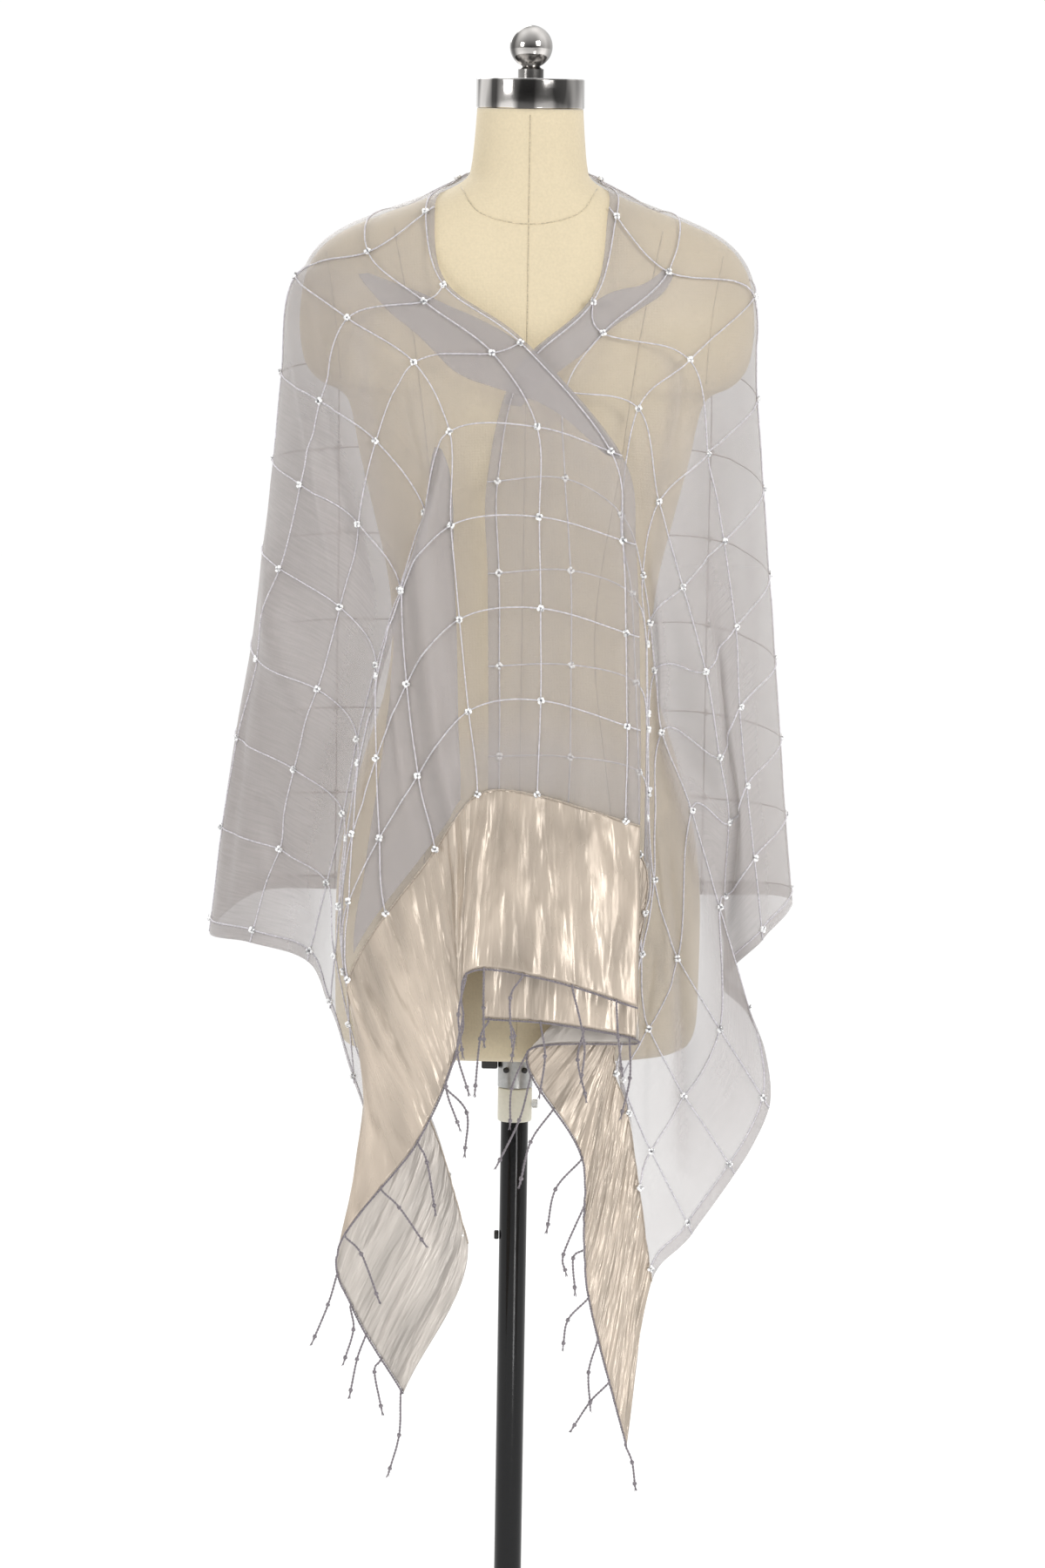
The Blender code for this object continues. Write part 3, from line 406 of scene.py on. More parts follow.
def unit(vectors):
    """Vectors of length 1."""
    length = np.linalg.norm(vectors, axis=-1, keepdims=True)
    return vectors / np.maximum(length, 1e-9)


def grid_directions(points):
    """Outward direction at each place of a grid of cloth, evened out a little."""
    run = np.gradient(points, axis=0)
    drop = np.gradient(points, axis=1)
    outward = unit(np.cross(run, drop))
    for turn in range(3):
        padded = np.pad(outward, ((1, 1), (1, 1), (0, 0)), mode="edge")
        around = padded[:-2, 1:-1] + padded[2:, 1:-1] + padded[1:-1, :-2] + padded[1:-1, 2:]
        outward = unit(outward + around)
    return outward


def fold_relief(folds, along, across):
    """Lifts of straight soft bands, added up over a whole grid: a plus is a trough in the cloth."""
    total = np.zeros(along.shape)
    for fold in folds:
        start = np.array((fold.along * SQUARE, fold.across))
        run = np.array((fold.to_along * SQUARE, fold.to_across)) - start
        place = np.stack((along * SQUARE, across), axis=-1) - start
        t = np.clip((place @ run) / (run @ run), 0.0, 1.0)
        away = np.linalg.norm(place - t[..., None] * run, axis=-1) / fold.half_width
        swell = np.sqrt(np.sin(math.pi * np.clip(t, 0.04, 0.96)))
        total += fold.lift * swell * np.exp(-away * away)
    return total


def noise_over(along, across, along_scale, across_scale, seed):
    """Smooth noise in the cloth's own coordinates, so that it is the same on every run."""
    values = np.empty(along.shape)
    for index, value in np.ndenumerate(along):
        place = (value * SQUARE * along_scale, across[index] * across_scale, seed)
        values[index] = noise.noise(place)
    return values


def crush(along, across):
    """Depth of crushed satin: sharp creases that run the length of the cloth, uneven in size."""
    bend = 0.03 * noise_over(along, across, 9.0, 5.0, 3.1)
    fine = 1.0 - 2.0 * np.abs(noise_over(along, across + bend, 7.0, 62.0, 8.4))
    broad = noise_over(along, across + bend, 4.0, 24.0, 5.7)
    small = noise_over(along, across, 40.0, 150.0, 2.2)
    strength = 0.55 + 0.45 * noise_over(along, across, 9.0, 9.0, 12.5)
    return strength * (0.0019 * fine + 0.0024 * broad + 0.0006 * small)


Drape = namedtuple("Drape", "columns rows points outward gather")


def gathering(points, along, across):
    """How many times closer the threads lie at each place than in the flat cloth."""
    run = np.diff(points, axis=0)[:, :-1]
    drop = np.diff(points, axis=1)[:-1]
    hung = np.linalg.norm(np.cross(run, drop), axis=-1)
    cut = np.diff(along * SQUARE, axis=0)[:, :-1] * np.diff(across, axis=1)[:-1]
    ratio = np.sqrt(np.clip(cut / np.maximum(hung, 1e-9), GATHER_LEAST, GATHER_MOST))
    ratio = np.pad(ratio, ((0, 1), (0, 1)), mode="edge")
    for turn in range(GATHER_SOFTENING):
        padded = np.pad(ratio, 1, mode="edge")
        ratio = (ratio + padded[:-2, 1:-1] + padded[2:, 1:-1] + padded[1:-1, :-2] + padded[1:-1, 2:]) / 5
    return ratio


def lay_drape(columns, rows, form, crushed):
    """A fine grid of the draped cloth, lifted off the form where it would touch it."""
    stops, sections = all_sections()
    curves = []
    for section in sections:
        values = [np.array(point, dtype=float) for point in section]
        curves.append(np.array([smooth_curve(ACROSS_STOPS, values, across) for across in rows]))
    points = np.array([smooth_curve(stops, curves, along) for along in columns])
    along, across = np.meshgrid(columns, rows, indexing="ij")
    relief = fold_relief(FOLDS, along, across)
    if crushed:
        relief += crush(along, across)
    else:
        relief += fold_relief(CREASES, along, across)
        relief += 0.0018 * noise_over(along, across, 16.0, 6.0, 1.3)
        relief += 0.0006 * noise_over(along, across, 46.0, 20.0, 4.9)
    gather = gathering(points, along, across) * (1.0 + fold_relief(DOUBLED, along, across))
    points = points - grid_directions(points) * relief[..., None]
    for index in np.ndindex(along.shape):
        place = Vector(points[index])
        near, outward = form.find_nearest(place)[:2]
        short = FORM_CLEAR - (place - near).dot(outward)
        if short > 0:
            points[index] = place + outward * short
    return Drape(columns, rows, points, grid_directions(points), gather)


def drape_columns(start, end, step):
    """Places along one stretch, no more than a step apart."""
    return spread(start, end, math.ceil((end - start) * SQUARE / step))


@lru_cache(maxsize=None)
def organza_drape():
    """All of the sheer cloth, seam to seam."""
    columns = drape_columns(-SEAM_SQUARES, -SIDE_SQUARES, ORGANZA_STEP)
    columns += drape_columns(-SIDE_SQUARES, SIDE_SQUARES, ORGANZA_STEP)[1:]
    columns += drape_columns(SIDE_SQUARES, SEAM_SQUARES, ORGANZA_STEP)[1:]
    rows = spread(0.0, CLOTH_WIDTH, math.ceil(CLOTH_WIDTH / ORGANZA_STEP))
    return lay_drape(columns, rows, form_tree(), False)


@lru_cache(maxsize=None)
def satin_drape(side):
    """One crushed satin end, from its seam to its fringe."""
    start, end = sorted((side * SEAM_SQUARES, side * END_SQUARES))
    columns = drape_columns(start, end, SATIN_STEP)
    rows = spread(0.0, CLOTH_WIDTH, math.ceil(CLOTH_WIDTH / SATIN_STEP))
    return lay_drape(columns, rows, form_tree(), True)


def on_drape(drape, along, across):
    """Place and outward direction anywhere on a grid."""
    c = min(max(bisect_right(drape.columns, along) - 1, 0), len(drape.columns) - 2)
    r = min(max(bisect_right(drape.rows, across) - 1, 0), len(drape.rows) - 2)
    u = (along - drape.columns[c]) / (drape.columns[c + 1] - drape.columns[c])
    v = (across - drape.rows[r]) / (drape.rows[r + 1] - drape.rows[r])
    found = []
    for values in (drape.points, drape.outward):
        low = values[c, r] * (1 - u) + values[c + 1, r] * u
        high = values[c, r + 1] * (1 - u) + values[c + 1, r + 1] * u
        found.append(low * (1 - v) + high * v)
    return Vector(found[0]), Vector(found[1]).normalized()


def form_ring(height):
    """Rounded outline of the padded form at one height."""
    rings = FORM_RINGS[::-1]
    stops = [ring.height for ring in rings]
    half_width, front, back = (smooth_curve(stops, [ring[k] for ring in rings], height) for k in (1, 2, 3))
    points = []
    power = 2.0 / RING_SQUARENESS
    for k in range(FORM_SIDES):
        turn = 2 * math.pi * k / FORM_SIDES
        side = math.copysign(abs(math.cos(turn)) ** power, math.cos(turn))
        fore = math.copysign(abs(math.sin(turn)) ** power, math.sin(turn))
        points.append(Vector((half_width * side, (back if fore > 0 else front) * fore, height)))
    return points


def form_heights():
    """Heights of the form's rings, closest at the shoulders, the arm stumps and the lower rim."""
    heights = []
    for upper, lower in zip(FORM_RINGS, FORM_RINGS[1:]):
        gap = upper.height - lower.height
        count = max(3, round(gap / FORM_RING_STEP))
        heights += spread(upper.height, lower.height, count)[:-1]
    return heights + [FORM_RINGS[-1].height]


@lru_cache(maxsize=None)
def form_mesh():
    """The smooth padded form as a closed mesh."""
    rings = [form_ring(height) for height in form_heights()]
    points = [point for ring in rings for point in ring]
    faces = []
    for row in range(len(rings) - 1):
        for k in range(FORM_SIDES):
            a = row * FORM_SIDES + k
            b = row * FORM_SIDES + (k + 1) % FORM_SIDES
            faces.append((a, b, b + FORM_SIDES, a + FORM_SIDES))
    last = (len(rings) - 1) * FORM_SIDES
    faces.append(tuple(range(FORM_SIDES)))
    faces.append(tuple(range(last, last + FORM_SIDES)))
    return outward_mesh("form_padding", points, faces)


@lru_cache(maxsize=None)
def form_tree():
    """The form as a surface that the cloth is laid on."""
    shape = bmesh.new()
    shape.from_mesh(form_mesh())
    tree = BVHTree.FromBMesh(shape)
    shape.free()
    return tree


def outward_mesh(name, points, faces):
    """A smooth mesh whose faces all point out."""
    mesh = bpy.data.meshes.new(name)
    mesh.from_pydata([tuple(point) for point in points], [], faces)
    shape = bmesh.new()
    shape.from_mesh(mesh)
    bmesh.ops.recalc_face_normals(shape, faces=shape.faces)
    shape.to_mesh(mesh)
    shape.free()
    mesh.shade_smooth()
    return mesh


def add_piece(name, mesh, surfaces, replaced=()):
    """Links one piece of the object, with its materials, its body and the solids it stands for."""
    piece = bpy.data.objects.new(name, mesh)
    bpy.context.scene.collection.objects.link(piece)
    for surface in surfaces:
        piece.data.materials.append(surface)
    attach(piece, "root")
    if replaced:
        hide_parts(*replaced)
    return piece


def cloth_mesh(name, points, along, across, gather):
    """A sheet through a grid of places, with its cut in metres as UV coordinates."""
    columns, rows = points.shape[:2]
    faces = []
    for c in range(columns - 1):
        for r in range(rows - 1):
            a = c * rows + r
            faces.append((a, a + 1, a + rows + 1, a + rows))
    mesh = bpy.data.meshes.new(name)
    mesh.from_pydata(points.reshape(-1, 3).tolist(), [], faces)
    layer = mesh.uv_layers.new(name="cut")
    flat = np.stack((along * SQUARE, across), axis=-1).reshape(-1, 2)
    corners = np.empty(len(mesh.loops), dtype=np.int32)
    mesh.loops.foreach_get("vertex_index", corners)
    layer.data.foreach_set("uv", flat[corners].ravel())
    closeness = mesh.attributes.new(name="gather", type="FLOAT", domain="POINT")
    closeness.data.foreach_set("value", gather.ravel())
    mesh.shade_smooth()
    return mesh


def thicken(piece, wall):
    """Gives a sheet its two skins, half the wall on each side."""
    shell = piece.modifiers.new("wall", "SOLIDIFY")
    shell.thickness = wall
    shell.offset = 0.0
    return shell


def cloth_piece(name, drape, start, end, wall, surfaces, replaced):
    """One stretch of a drape as a thin shell."""
    columns = np.array(drape.columns)
    chosen = np.nonzero((columns >= start - 1e-6) & (columns <= end + 1e-6))[0]
    points = drape.points[chosen[0]:chosen[-1] + 1]
    along, across = np.meshgrid(columns[chosen], drape.rows, indexing="ij")
    mesh = cloth_mesh(name, points, along, across, drape.gather[chosen[0]:chosen[-1] + 1])
    piece = add_piece(name, mesh, surfaces, replaced)
    shell = thicken(piece, wall)
    if len(surfaces) > 1:
        shell.material_offset = 1
    return piece


def tube_parts(path, radius, sides, points, faces):
    """Adds a closed tube along a path to a growing mesh; radius may be a number for each point."""
    radii = radius if hasattr(radius, "__len__") else [radius] * len(path)
    course = (path[1] - path[0]).normalized()
    side = course.orthogonal().normalized()
    first = len(points)
    for k, place in enumerate(path):
        ahead = path[min(k + 1, len(path) - 1)] - path[max(k - 1, 0)]
        if ahead.length > 1e-9:
            turn = course.rotation_difference(ahead)
            side = turn @ side
            course = ahead.normalized()
        other = course.cross(side).normalized()
        for n in range(sides):
            angle = 2 * math.pi * n / sides
            points.append(place + (side * math.cos(angle) + other * math.sin(angle)) * radii[k])
    for k in range(len(path) - 1):
        for n in range(sides):
            a = first + k * sides + n
            b = first + k * sides + (n + 1) % sides
            faces.append((a, b, b + sides, a + sides))
    last = first + (len(path) - 1) * sides
    faces.append(tuple(range(first + sides - 1, first - 1, -1)))
    faces.append(tuple(range(last, last + sides)))


def lump_parts(centre, size, axis, points, faces):
    """Adds a small rounded lump, shorter along its axis, to a growing mesh."""
    shape = bmesh.new()
    bmesh.ops.create_icosphere(shape, subdivisions=2, radius=1.0)
    turn = Vector((0, 0, 1)).rotation_difference(axis).to_matrix().to_4x4()
    place = Matrix.Translation(centre) @ turn @ Matrix.Diagonal((*size, 1.0))
    first = len(points)
    points += [place @ vert.co for vert in shape.verts]
    faces += [[first + vert.index for vert in face.verts] for face in shape.faces]
    shape.free()


def solid_mesh(name, points, faces):
    """A smooth mesh from already closed parts."""
    mesh = bpy.data.meshes.new(name)
    mesh.from_pydata([tuple(point) for point in points], [], faces)
    mesh.shade_smooth()
    return mesh


def new_surface(name, colour, roughness, **settings):
    """A Principled material; the settings are its sockets in small letters."""
    made = bpy.data.materials.new(name)
    made.use_nodes = True
    shader = made.node_tree.nodes["Principled BSDF"]
    shader.inputs["Base Color"].default_value = (*colour, 1.0)
    shader.inputs["Roughness"].default_value = roughness
    for key, value in settings.items():
        shader.inputs[key.replace("_", " ").title().replace("Ior", "IOR")].default_value = value
    made.diffuse_color = (*colour, 1.0)
    return made


def shader_of(made):
    """The Principled node of a material."""
    return made.node_tree.nodes["Principled BSDF"]


def mapped(made, coordinates, stretch):
    """Texture coordinates of one kind, stretched."""
    nodes, links = made.node_tree.nodes, made.node_tree.links
    source = nodes.new("ShaderNodeTexCoord")
    mapping = nodes.new("ShaderNodeMapping")
    mapping.inputs["Scale"].default_value = stretch
    links.new(source.outputs[coordinates], mapping.inputs["Vector"])
    return mapping.outputs["Vector"]


def noise_value(made, coordinates, stretch, low, high, detail=3.0, kind="FBM"):
    """Uneven values from low to high; stretch is in bumps for each metre."""
    nodes, links = made.node_tree.nodes, made.node_tree.links
    texture = nodes.new("ShaderNodeTexNoise")
    texture.noise_type = kind
    texture.inputs["Scale"].default_value = 1.0
    texture.inputs["Detail"].default_value = detail
    links.new(mapped(made, coordinates, stretch), texture.inputs["Vector"])
    ranged = nodes.new("ShaderNodeMapRange")
    for key, value in (("From Min", 0.3), ("From Max", 0.7), ("To Min", low), ("To Max", high)):
        ranged.inputs[key].default_value = value
    links.new(texture.outputs["Fac"], ranged.inputs["Value"])
    return ranged.outputs["Result"]


def weave_value(made, coordinates, step, axes="XY"):
    """Threads that cross over and under, 0 in the holes and 1 on the crowns."""
    nodes, links = made.node_tree.nodes, made.node_tree.links
    found = []
    for axis in axes:
        wave = nodes.new("ShaderNodeTexWave")
        wave.bands_direction = axis
        wave.inputs["Scale"].default_value = math.pi / (10.0 * step)
        wave.inputs["Distortion"].default_value = 0.6
        links.new(mapped(made, coordinates, (1.0, 1.0, 1.0)), wave.inputs["Vector"])
        found.append(wave.outputs["Fac"])
    return combined(made, "MAXIMUM", *found)


def combined(made, operation, one, other):
    """Two values joined by one sum; the second may be a plain number."""
    nodes, links = made.node_tree.nodes, made.node_tree.links
    sum_node = nodes.new("ShaderNodeMath")
    sum_node.operation = operation
    for socket, value in zip(sum_node.inputs, (one, other)):
        if isinstance(value, (int, float)):
            socket.default_value = value
        else:
            links.new(value, socket)
    return sum_node.outputs["Value"]


def vary_colour(made, value, dark, light):
    """Blends the base colour from dark to light by a value from 0 to 1."""
    nodes, links = made.node_tree.nodes, made.node_tree.links
    mix = nodes.new("ShaderNodeMix")
    mix.data_type = "RGBA"
    links.new(value, mix.inputs[0])
    mix.inputs[6].default_value = (*dark, 1.0)
    mix.inputs[7].default_value = (*light, 1.0)
    links.new(mix.outputs[2], shader_of(made).inputs["Base Color"])


def add_bump(made, value, distance, strength=1.0):
    """Fine relief from a value."""
    bump = made.node_tree.nodes.new("ShaderNodeBump")
    bump.inputs["Strength"].default_value = strength
    bump.inputs["Distance"].default_value = distance
    made.node_tree.links.new(value, bump.inputs["Height"])
    made.node_tree.links.new(bump.outputs["Normal"], shader_of(made).inputs["Normal"])


def drive(made, value, socket):
    """Feeds a value that varies over the surface into one socket."""
    made.node_tree.links.new(value, shader_of(made).inputs[socket])


def shade(colour, factor):
    """The same colour, darker or lighter."""
    return tuple(min(channel * factor, 1.0) for channel in colour)


@lru_cache(maxsize=None)
def organza_surface():
    """Sheer cloth: fine uneven threads, denser where the cloth is gathered, and a soft sheen."""
    cloth = bpy.context.scene.shawl_cloth
    made = new_surface("lavender_organza", cloth.organza_colour, 0.42, sheen_weight=0.25,
                       sheen_roughness=0.35, specular_ior_level=0.35)
    cover = cloth.organza_cover
    slubs = noise_value(made, "UV", (38.0, 900.0, 1.0), 0.97 * cover, 1.03 * cover)
    wefts = noise_value(made, "UV", (900.0, 38.0, 1.0), 0.975, 1.025)
    clouds = noise_value(made, "UV", (14.0, 14.0, 1.0), 0.94, 1.06, 2.0)
    holes = combined(made, "MULTIPLY", weave_value(made, "UV", 0.0009), 0.03)
    weave = combined(made, "MULTIPLY", combined(made, "ADD", holes, 0.97), slubs)
    stopped = combined(made, "MULTIPLY", combined(made, "MULTIPLY", weave, wefts), clouds)
    gather = made.node_tree.nodes.new("ShaderNodeAttribute")
    gather.attribute_name = "gather"
    let_through = combined(made, "POWER", combined(made, "SUBTRACT", 1.0, stopped), gather.outputs["Fac"])
    drive(made, combined(made, "SUBTRACT", 1.0, let_through), "Alpha")
    vary_colour(made, noise_value(made, "UV", (30.0, 500.0, 1.0), 0.0, 1.0),
                shade(cloth.organza_colour, 0.92), shade(cloth.organza_colour, 1.08))
    add_bump(made, noise_value(made, "UV", (700.0, 700.0, 1.0), 0.0, 1.0), 0.0002, 0.4)
    return made


@lru_cache(maxsize=None)
def satin_surface(side):
    """Crushed satin: the right side is champagne, the reverse is duller and lilac; its colour carries
    painted highlights and painted shade along the crushed creases.
    """
    cloth = bpy.context.scene.shawl_cloth
    colour = cloth.satin_colour if side == "face" else cloth.satin_reverse_colour
    made = new_surface(f"champagne_satin_{side}", colour, 0.3, metallic=0.30, anisotropic=0.4,
                       specular_ior_level=0.7)
    streaks = noise_value(made, "UV", (8.0, 40.0, 1.0), 0.0, 1.0, 3.0)
    patches = noise_value(made, "UV", (9.0, 13.0, 1.0), 0.0, 1.0, 2.0)
    crests = noise_value(made, "UV", (16.0, 120.0, 1.0), 0.0, 1.0, 4.0, "RIDGED_MULTIFRACTAL")
    both = combined(made, "ADD", combined(made, "MULTIPLY", streaks, 0.36),
                    combined(made, "MULTIPLY", patches, 0.50))
    both = combined(made, "ADD", both, combined(made, "MULTIPLY", crests, 0.14))
    # Painted highlights and painted shade: the creases' streaks, patches and crests lighten and darken the
    # satin's colour
    vary_colour(made, both, shade(colour, 0.56), shade(colour, 1.30))
    low, high = (0.18, 0.36) if side == "face" else (0.28, 0.46)
    drive(made, noise_value(made, "UV", (16.0, 60.0, 1.0), low, high, 3.0), "Roughness")
    relief = combined(made, "ADD", combined(made, "MULTIPLY", crests, 0.25),
                      combined(made, "ADD", streaks, patches))
    add_bump(made, relief, 0.0017, 1.0)
    return made


def thread_surface(name, colour):
    """Twisted thread: light and dark flecks along it."""
    made = new_surface(name, colour, 0.62, sheen_weight=0.3)
    flecks = noise_value(made, "Object", (500.0, 500.0, 900.0), 0.0, 1.0)
    vary_colour(made, flecks, shade(colour, 0.65), shade(colour, 1.3))
    add_bump(made, flecks, 0.0003, 0.5)
    return made


def bead_surface():
    """Small clear glass beads with silver in their bores; the dark and bright flecks of their colour are
    partly that silver and partly painted glints and painted reflections.
    """
    colour = bpy.context.scene.shawl_trim.bead_colour
    made = new_surface("glass_bead", colour, 0.08, coat_weight=0.9)
    # Dark and bright flecks: partly the silver in the bores, partly painted glints and painted reflections
    # of the glass
    vary_colour(made, noise_value(made, "Object", (380.0, 380.0, 380.0), -0.6, 2.4),
                shade(colour, 0.30), shade(colour, 1.25))
    return made


@lru_cache(maxsize=None)
def cotton_surface():
    """Plain woven cotton cover of the padded form, a little soiled."""
    form = bpy.context.scene.dress_form
    made = new_surface("form_cotton", form.cotton_colour, 0.88, sheen_weight=0.2)
    soil = noise_value(made, "Object", (7.0, 7.0, 5.0), 0.0, 1.0, 5.0)
    flecks = noise_value(made, "Object", (420.0, 420.0, 420.0), 0.0, 1.0, 2.0)
    both = combined(made, "ADD", combined(made, "MULTIPLY", soil, 0.55),
                    combined(made, "MULTIPLY", flecks, 0.45))
    vary_colour(made, both, shade(form.cotton_colour, 0.91), shade(form.cotton_colour, 1.06))
    weave = weave_value(made, "Object", 0.0011, "XZ")
    add_bump(made, combined(made, "ADD", weave, flecks), 0.00025, 0.5)
    return made


def finish_surface(name, colour, roughness, uneven, **settings):
    """Metal, enamel or moulded finish with slight unevenness in its gloss and colour."""
    made = new_surface(name, colour, roughness, **settings)
    smears = noise_value(made, "Object", (28.0, 28.0, 90.0), roughness * 0.75, roughness * 1.35)
    drive(made, smears, "Roughness")
    specks = noise_value(made, "Object", (260.0, 260.0, 260.0), 0.0, 1.0)
    vary_colour(made, specks, shade(colour, 1 - uneven), shade(colour, 1 + uneven))
    add_bump(made, specks, 0.0001, 0.25)
    return made


def mirror_surface():
    """Polished steel; the dark and bright upright bands of a studio are painted in its colour."""
    colour = bpy.context.scene.dress_form.steel_colour
    made = new_surface("polished_steel", colour, 0.12, metallic=1.0)
    bands = noise_value(made, "Object", (55.0, 55.0, 9.0), -0.3, 1.3, 1.0)
    vary_colour(made, bands, shade(colour, 0.28), shade(colour, 1.9))
    drive(made, noise_value(made, "Object", (28.0, 28.0, 90.0), 0.09, 0.16), "Roughness")
    return made


def turned_mesh(name, profile, sides=64):
    """A round piece; its profile of (radius, height) runs from the axis at the top to the axis below."""
    points = [Vector((0.0, 0.0, profile[0][1]))]
    for radius, height in profile[1:-1]:
        for k in range(sides):
            turn = 2 * math.pi * k / sides
            points.append(Vector((radius * math.cos(turn), radius * math.sin(turn), height)))
    points.append(Vector((0.0, 0.0, profile[-1][1])))
    faces = []
    rings = len(profile) - 2
    last = len(points) - 1
    for k in range(sides):
        m = (k + 1) % sides
        faces.append((0, 1 + k, 1 + m))
        for ring in range(rings - 1):
            a = 1 + ring * sides
            faces.append((a + k, a + sides + k, a + sides + m, a + m))
        low = 1 + (rings - 1) * sides
        faces.append((last, low + m, low + k))
    mesh = outward_mesh(name, points, faces)
    mesh.set_sharp_from_angle(angle=math.radians(38))
    return mesh


def round_edge(radius, height, edge, start, end, count=5):
    """Profile points round a quarter edge; angles in degrees up from level."""
    turns = [math.radians(start + (end - start) * k / count) for k in range(count + 1)]
    return [(radius + edge * math.cos(t), height + edge * math.sin(t)) for t in turns]


def drum_profile(top, low, radius, edge):
    """Profile of a plain round block with softened edges."""
    profile = [(0.0, top)] + round_edge(radius - edge, top - edge, edge, 90, 0)
    return profile + round_edge(radius - edge, low + edge, edge, 0, -90) + [(0.0, low)]


def node_size(node):
    """Radius across, lowest and highest height of a round node on the pole's line."""
    low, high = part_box(node)
    return (high[1] - low[1]) / 2, low[2], high[2]


def fitted_round(node, profile, made):
    """A finely turned piece in a node's own place."""
    return add_piece(f"{node}_turned", turned_mesh(f"{node}_turned", profile), (made,), (node,))


def on_form(x, height, side):
    """Place and outward direction on the padded form, straight before or behind (x, height)."""
    start = Vector((x, side, height))
    place, outward = form_tree().ray_cast(start, Vector((0.0, -side, 0.0)))[:2]
    if place is None:
        raise RuntimeError(f"no form at {x:.3f}, {height:.3f}")
    return place, outward


def seam_route(stops, side):
    """A seam of the form's cover through stops of (x, height)."""
    flat = [Vector(stop) for stop in stops]
    places = list(range(len(flat)))
    length = sum((b - a).length for a, b in zip(flat, flat[1:]))
    route = []
    for t in spread(0.0, len(flat) - 1, math.ceil(length / SEAM_STEP)):
        spot = smooth_curve(places, flat, t)
        place, outward = on_form(spot.x, spot.y, side)
        route.append(place + outward * SEAM_LIFT)
    return route


def mirrored(stops):
    """The same stops on the other side of the body."""
    return tuple((-x, height) for x, height in stops)


# Seams of the form's cotton cover: side is -1 in front and 1 behind; stops are (x, height)
FRONT_PANEL = ((.118, 1.388), (.100, 1.300), (.084, 1.187), (.064, 1.030), (.082, .860), (.088, .668))
BACK_PANEL = ((.118, 1.388), (.096, 1.300), (.078, 1.187), (.060, 1.030), (.082, .860), (.090, .668))
FormSeam = namedtuple("FormSeam", "side stops")
FORM_SEAMS = (
    FormSeam(-1, ((.0, 1.488), (.0, 1.30), (.0, 1.05), (.0, .668))),
    FormSeam(1, ((.0, 1.488), (.0, 1.30), (.0, 1.05), (.0, .668))),
    FormSeam(-1, ((-.060, 1.424), (-.042, 1.402), (.0, 1.393), (.042, 1.402), (.060, 1.424))),
    FormSeam(1, ((-.060, 1.424), (-.042, 1.414), (.0, 1.409), (.042, 1.414), (.060, 1.424))),
    FormSeam(-1, ((-.178, 1.366), (-.171, 1.330), (-.166, 1.290), (-.163, 1.256))),
    FormSeam(-1, ((.172, 1.366), (.165, 1.330), (.160, 1.290), (.158, 1.256))),
    FormSeam(1, ((-.176, 1.366), (-.170, 1.330), (-.166, 1.290), (-.160, 1.256))),
    FormSeam(1, ((.176, 1.366), (.170, 1.330), (.166, 1.290), (.160, 1.256))),
    FormSeam(-1, mirrored(FRONT_PANEL)),
    FormSeam(-1, FRONT_PANEL),
    FormSeam(1, mirrored(BACK_PANEL)),
    FormSeam(1, BACK_PANEL),
)


class ShawlClothSettings(bpy.types.PropertyGroup):
    """Sheer cloth and satin ends."""
    organza_colour: bpy.props.FloatVectorProperty(
        name="Organza Colour", description="Colour of the sheer cloth's threads",
        subtype="COLOR", size=3, min=0.0, max=1.0, default=(0.395, 0.365, 0.355))
    organza_cover: bpy.props.FloatProperty(
        name="Organza Cover", description="Share of the light that each skin of the cloth stops",
        subtype="FACTOR", min=0.05, max=0.95, default=0.215)
    organza_thickness: bpy.props.FloatProperty(
        name="Organza Thickness", description="Distance between the two skins of the sheer cloth",
        unit="LENGTH", min=0.0002, max=0.003, default=0.0004)
    satin_colour: bpy.props.FloatVectorProperty(
        name="Satin Colour", description="Right side of the crushed satin ends",
        subtype="COLOR", size=3, min=0.0, max=1.0, default=(0.54, 0.455, 0.37))
    satin_reverse_colour: bpy.props.FloatVectorProperty(
        name="Satin Reverse Colour", description="Wrong side of the crushed satin ends",
        subtype="COLOR", size=3, min=0.0, max=1.0, default=(0.53, 0.485, 0.44))
    satin_thickness: bpy.props.FloatProperty(
        name="Satin Thickness", description="Distance between the two sides of the satin",
        unit="LENGTH", min=0.0002, max=0.003, default=0.0006)


class ShawlTrimSettings(bpy.types.PropertyGroup):
    """Check threads, beads and fringe."""
    thread_radius: bpy.props.FloatProperty(
        name="Thread Radius", description="Half the thickness of the corded threads of the check",
        unit="LENGTH", min=0.0002, max=0.002, default=0.00080)
    thread_colour: bpy.props.FloatVectorProperty(
        name="Thread Colour", description="Colour of the check's threads",
        subtype="COLOR", size=3, min=0.0, max=1.0, default=(0.60, 0.575, 0.61))
    bead_radius: bpy.props.FloatProperty(
        name="Bead Radius", description="Half the width of one bead",
        unit="LENGTH", min=0.0005, max=0.004, default=0.0018)
    bead_colour: bpy.props.FloatVectorProperty(
        name="Bead Colour", description="Colour of the beads at the check's crossings",
        subtype="COLOR", size=3, min=0.0, max=1.0, default=(0.95, 0.95, 0.97))
    ply_radius: bpy.props.FloatProperty(
        name="Ply Radius", description="Half the thickness of one of the two plies of a fringe cord",
        unit="LENGTH", min=0.0002, max=0.002, default=0.0006)
    fringe_colour: bpy.props.FloatVectorProperty(
        name="Fringe Colour", description="Colour of the twisted fringe",
        subtype="COLOR", size=3, min=0.0, max=1.0, default=(0.22, 0.195, 0.215))


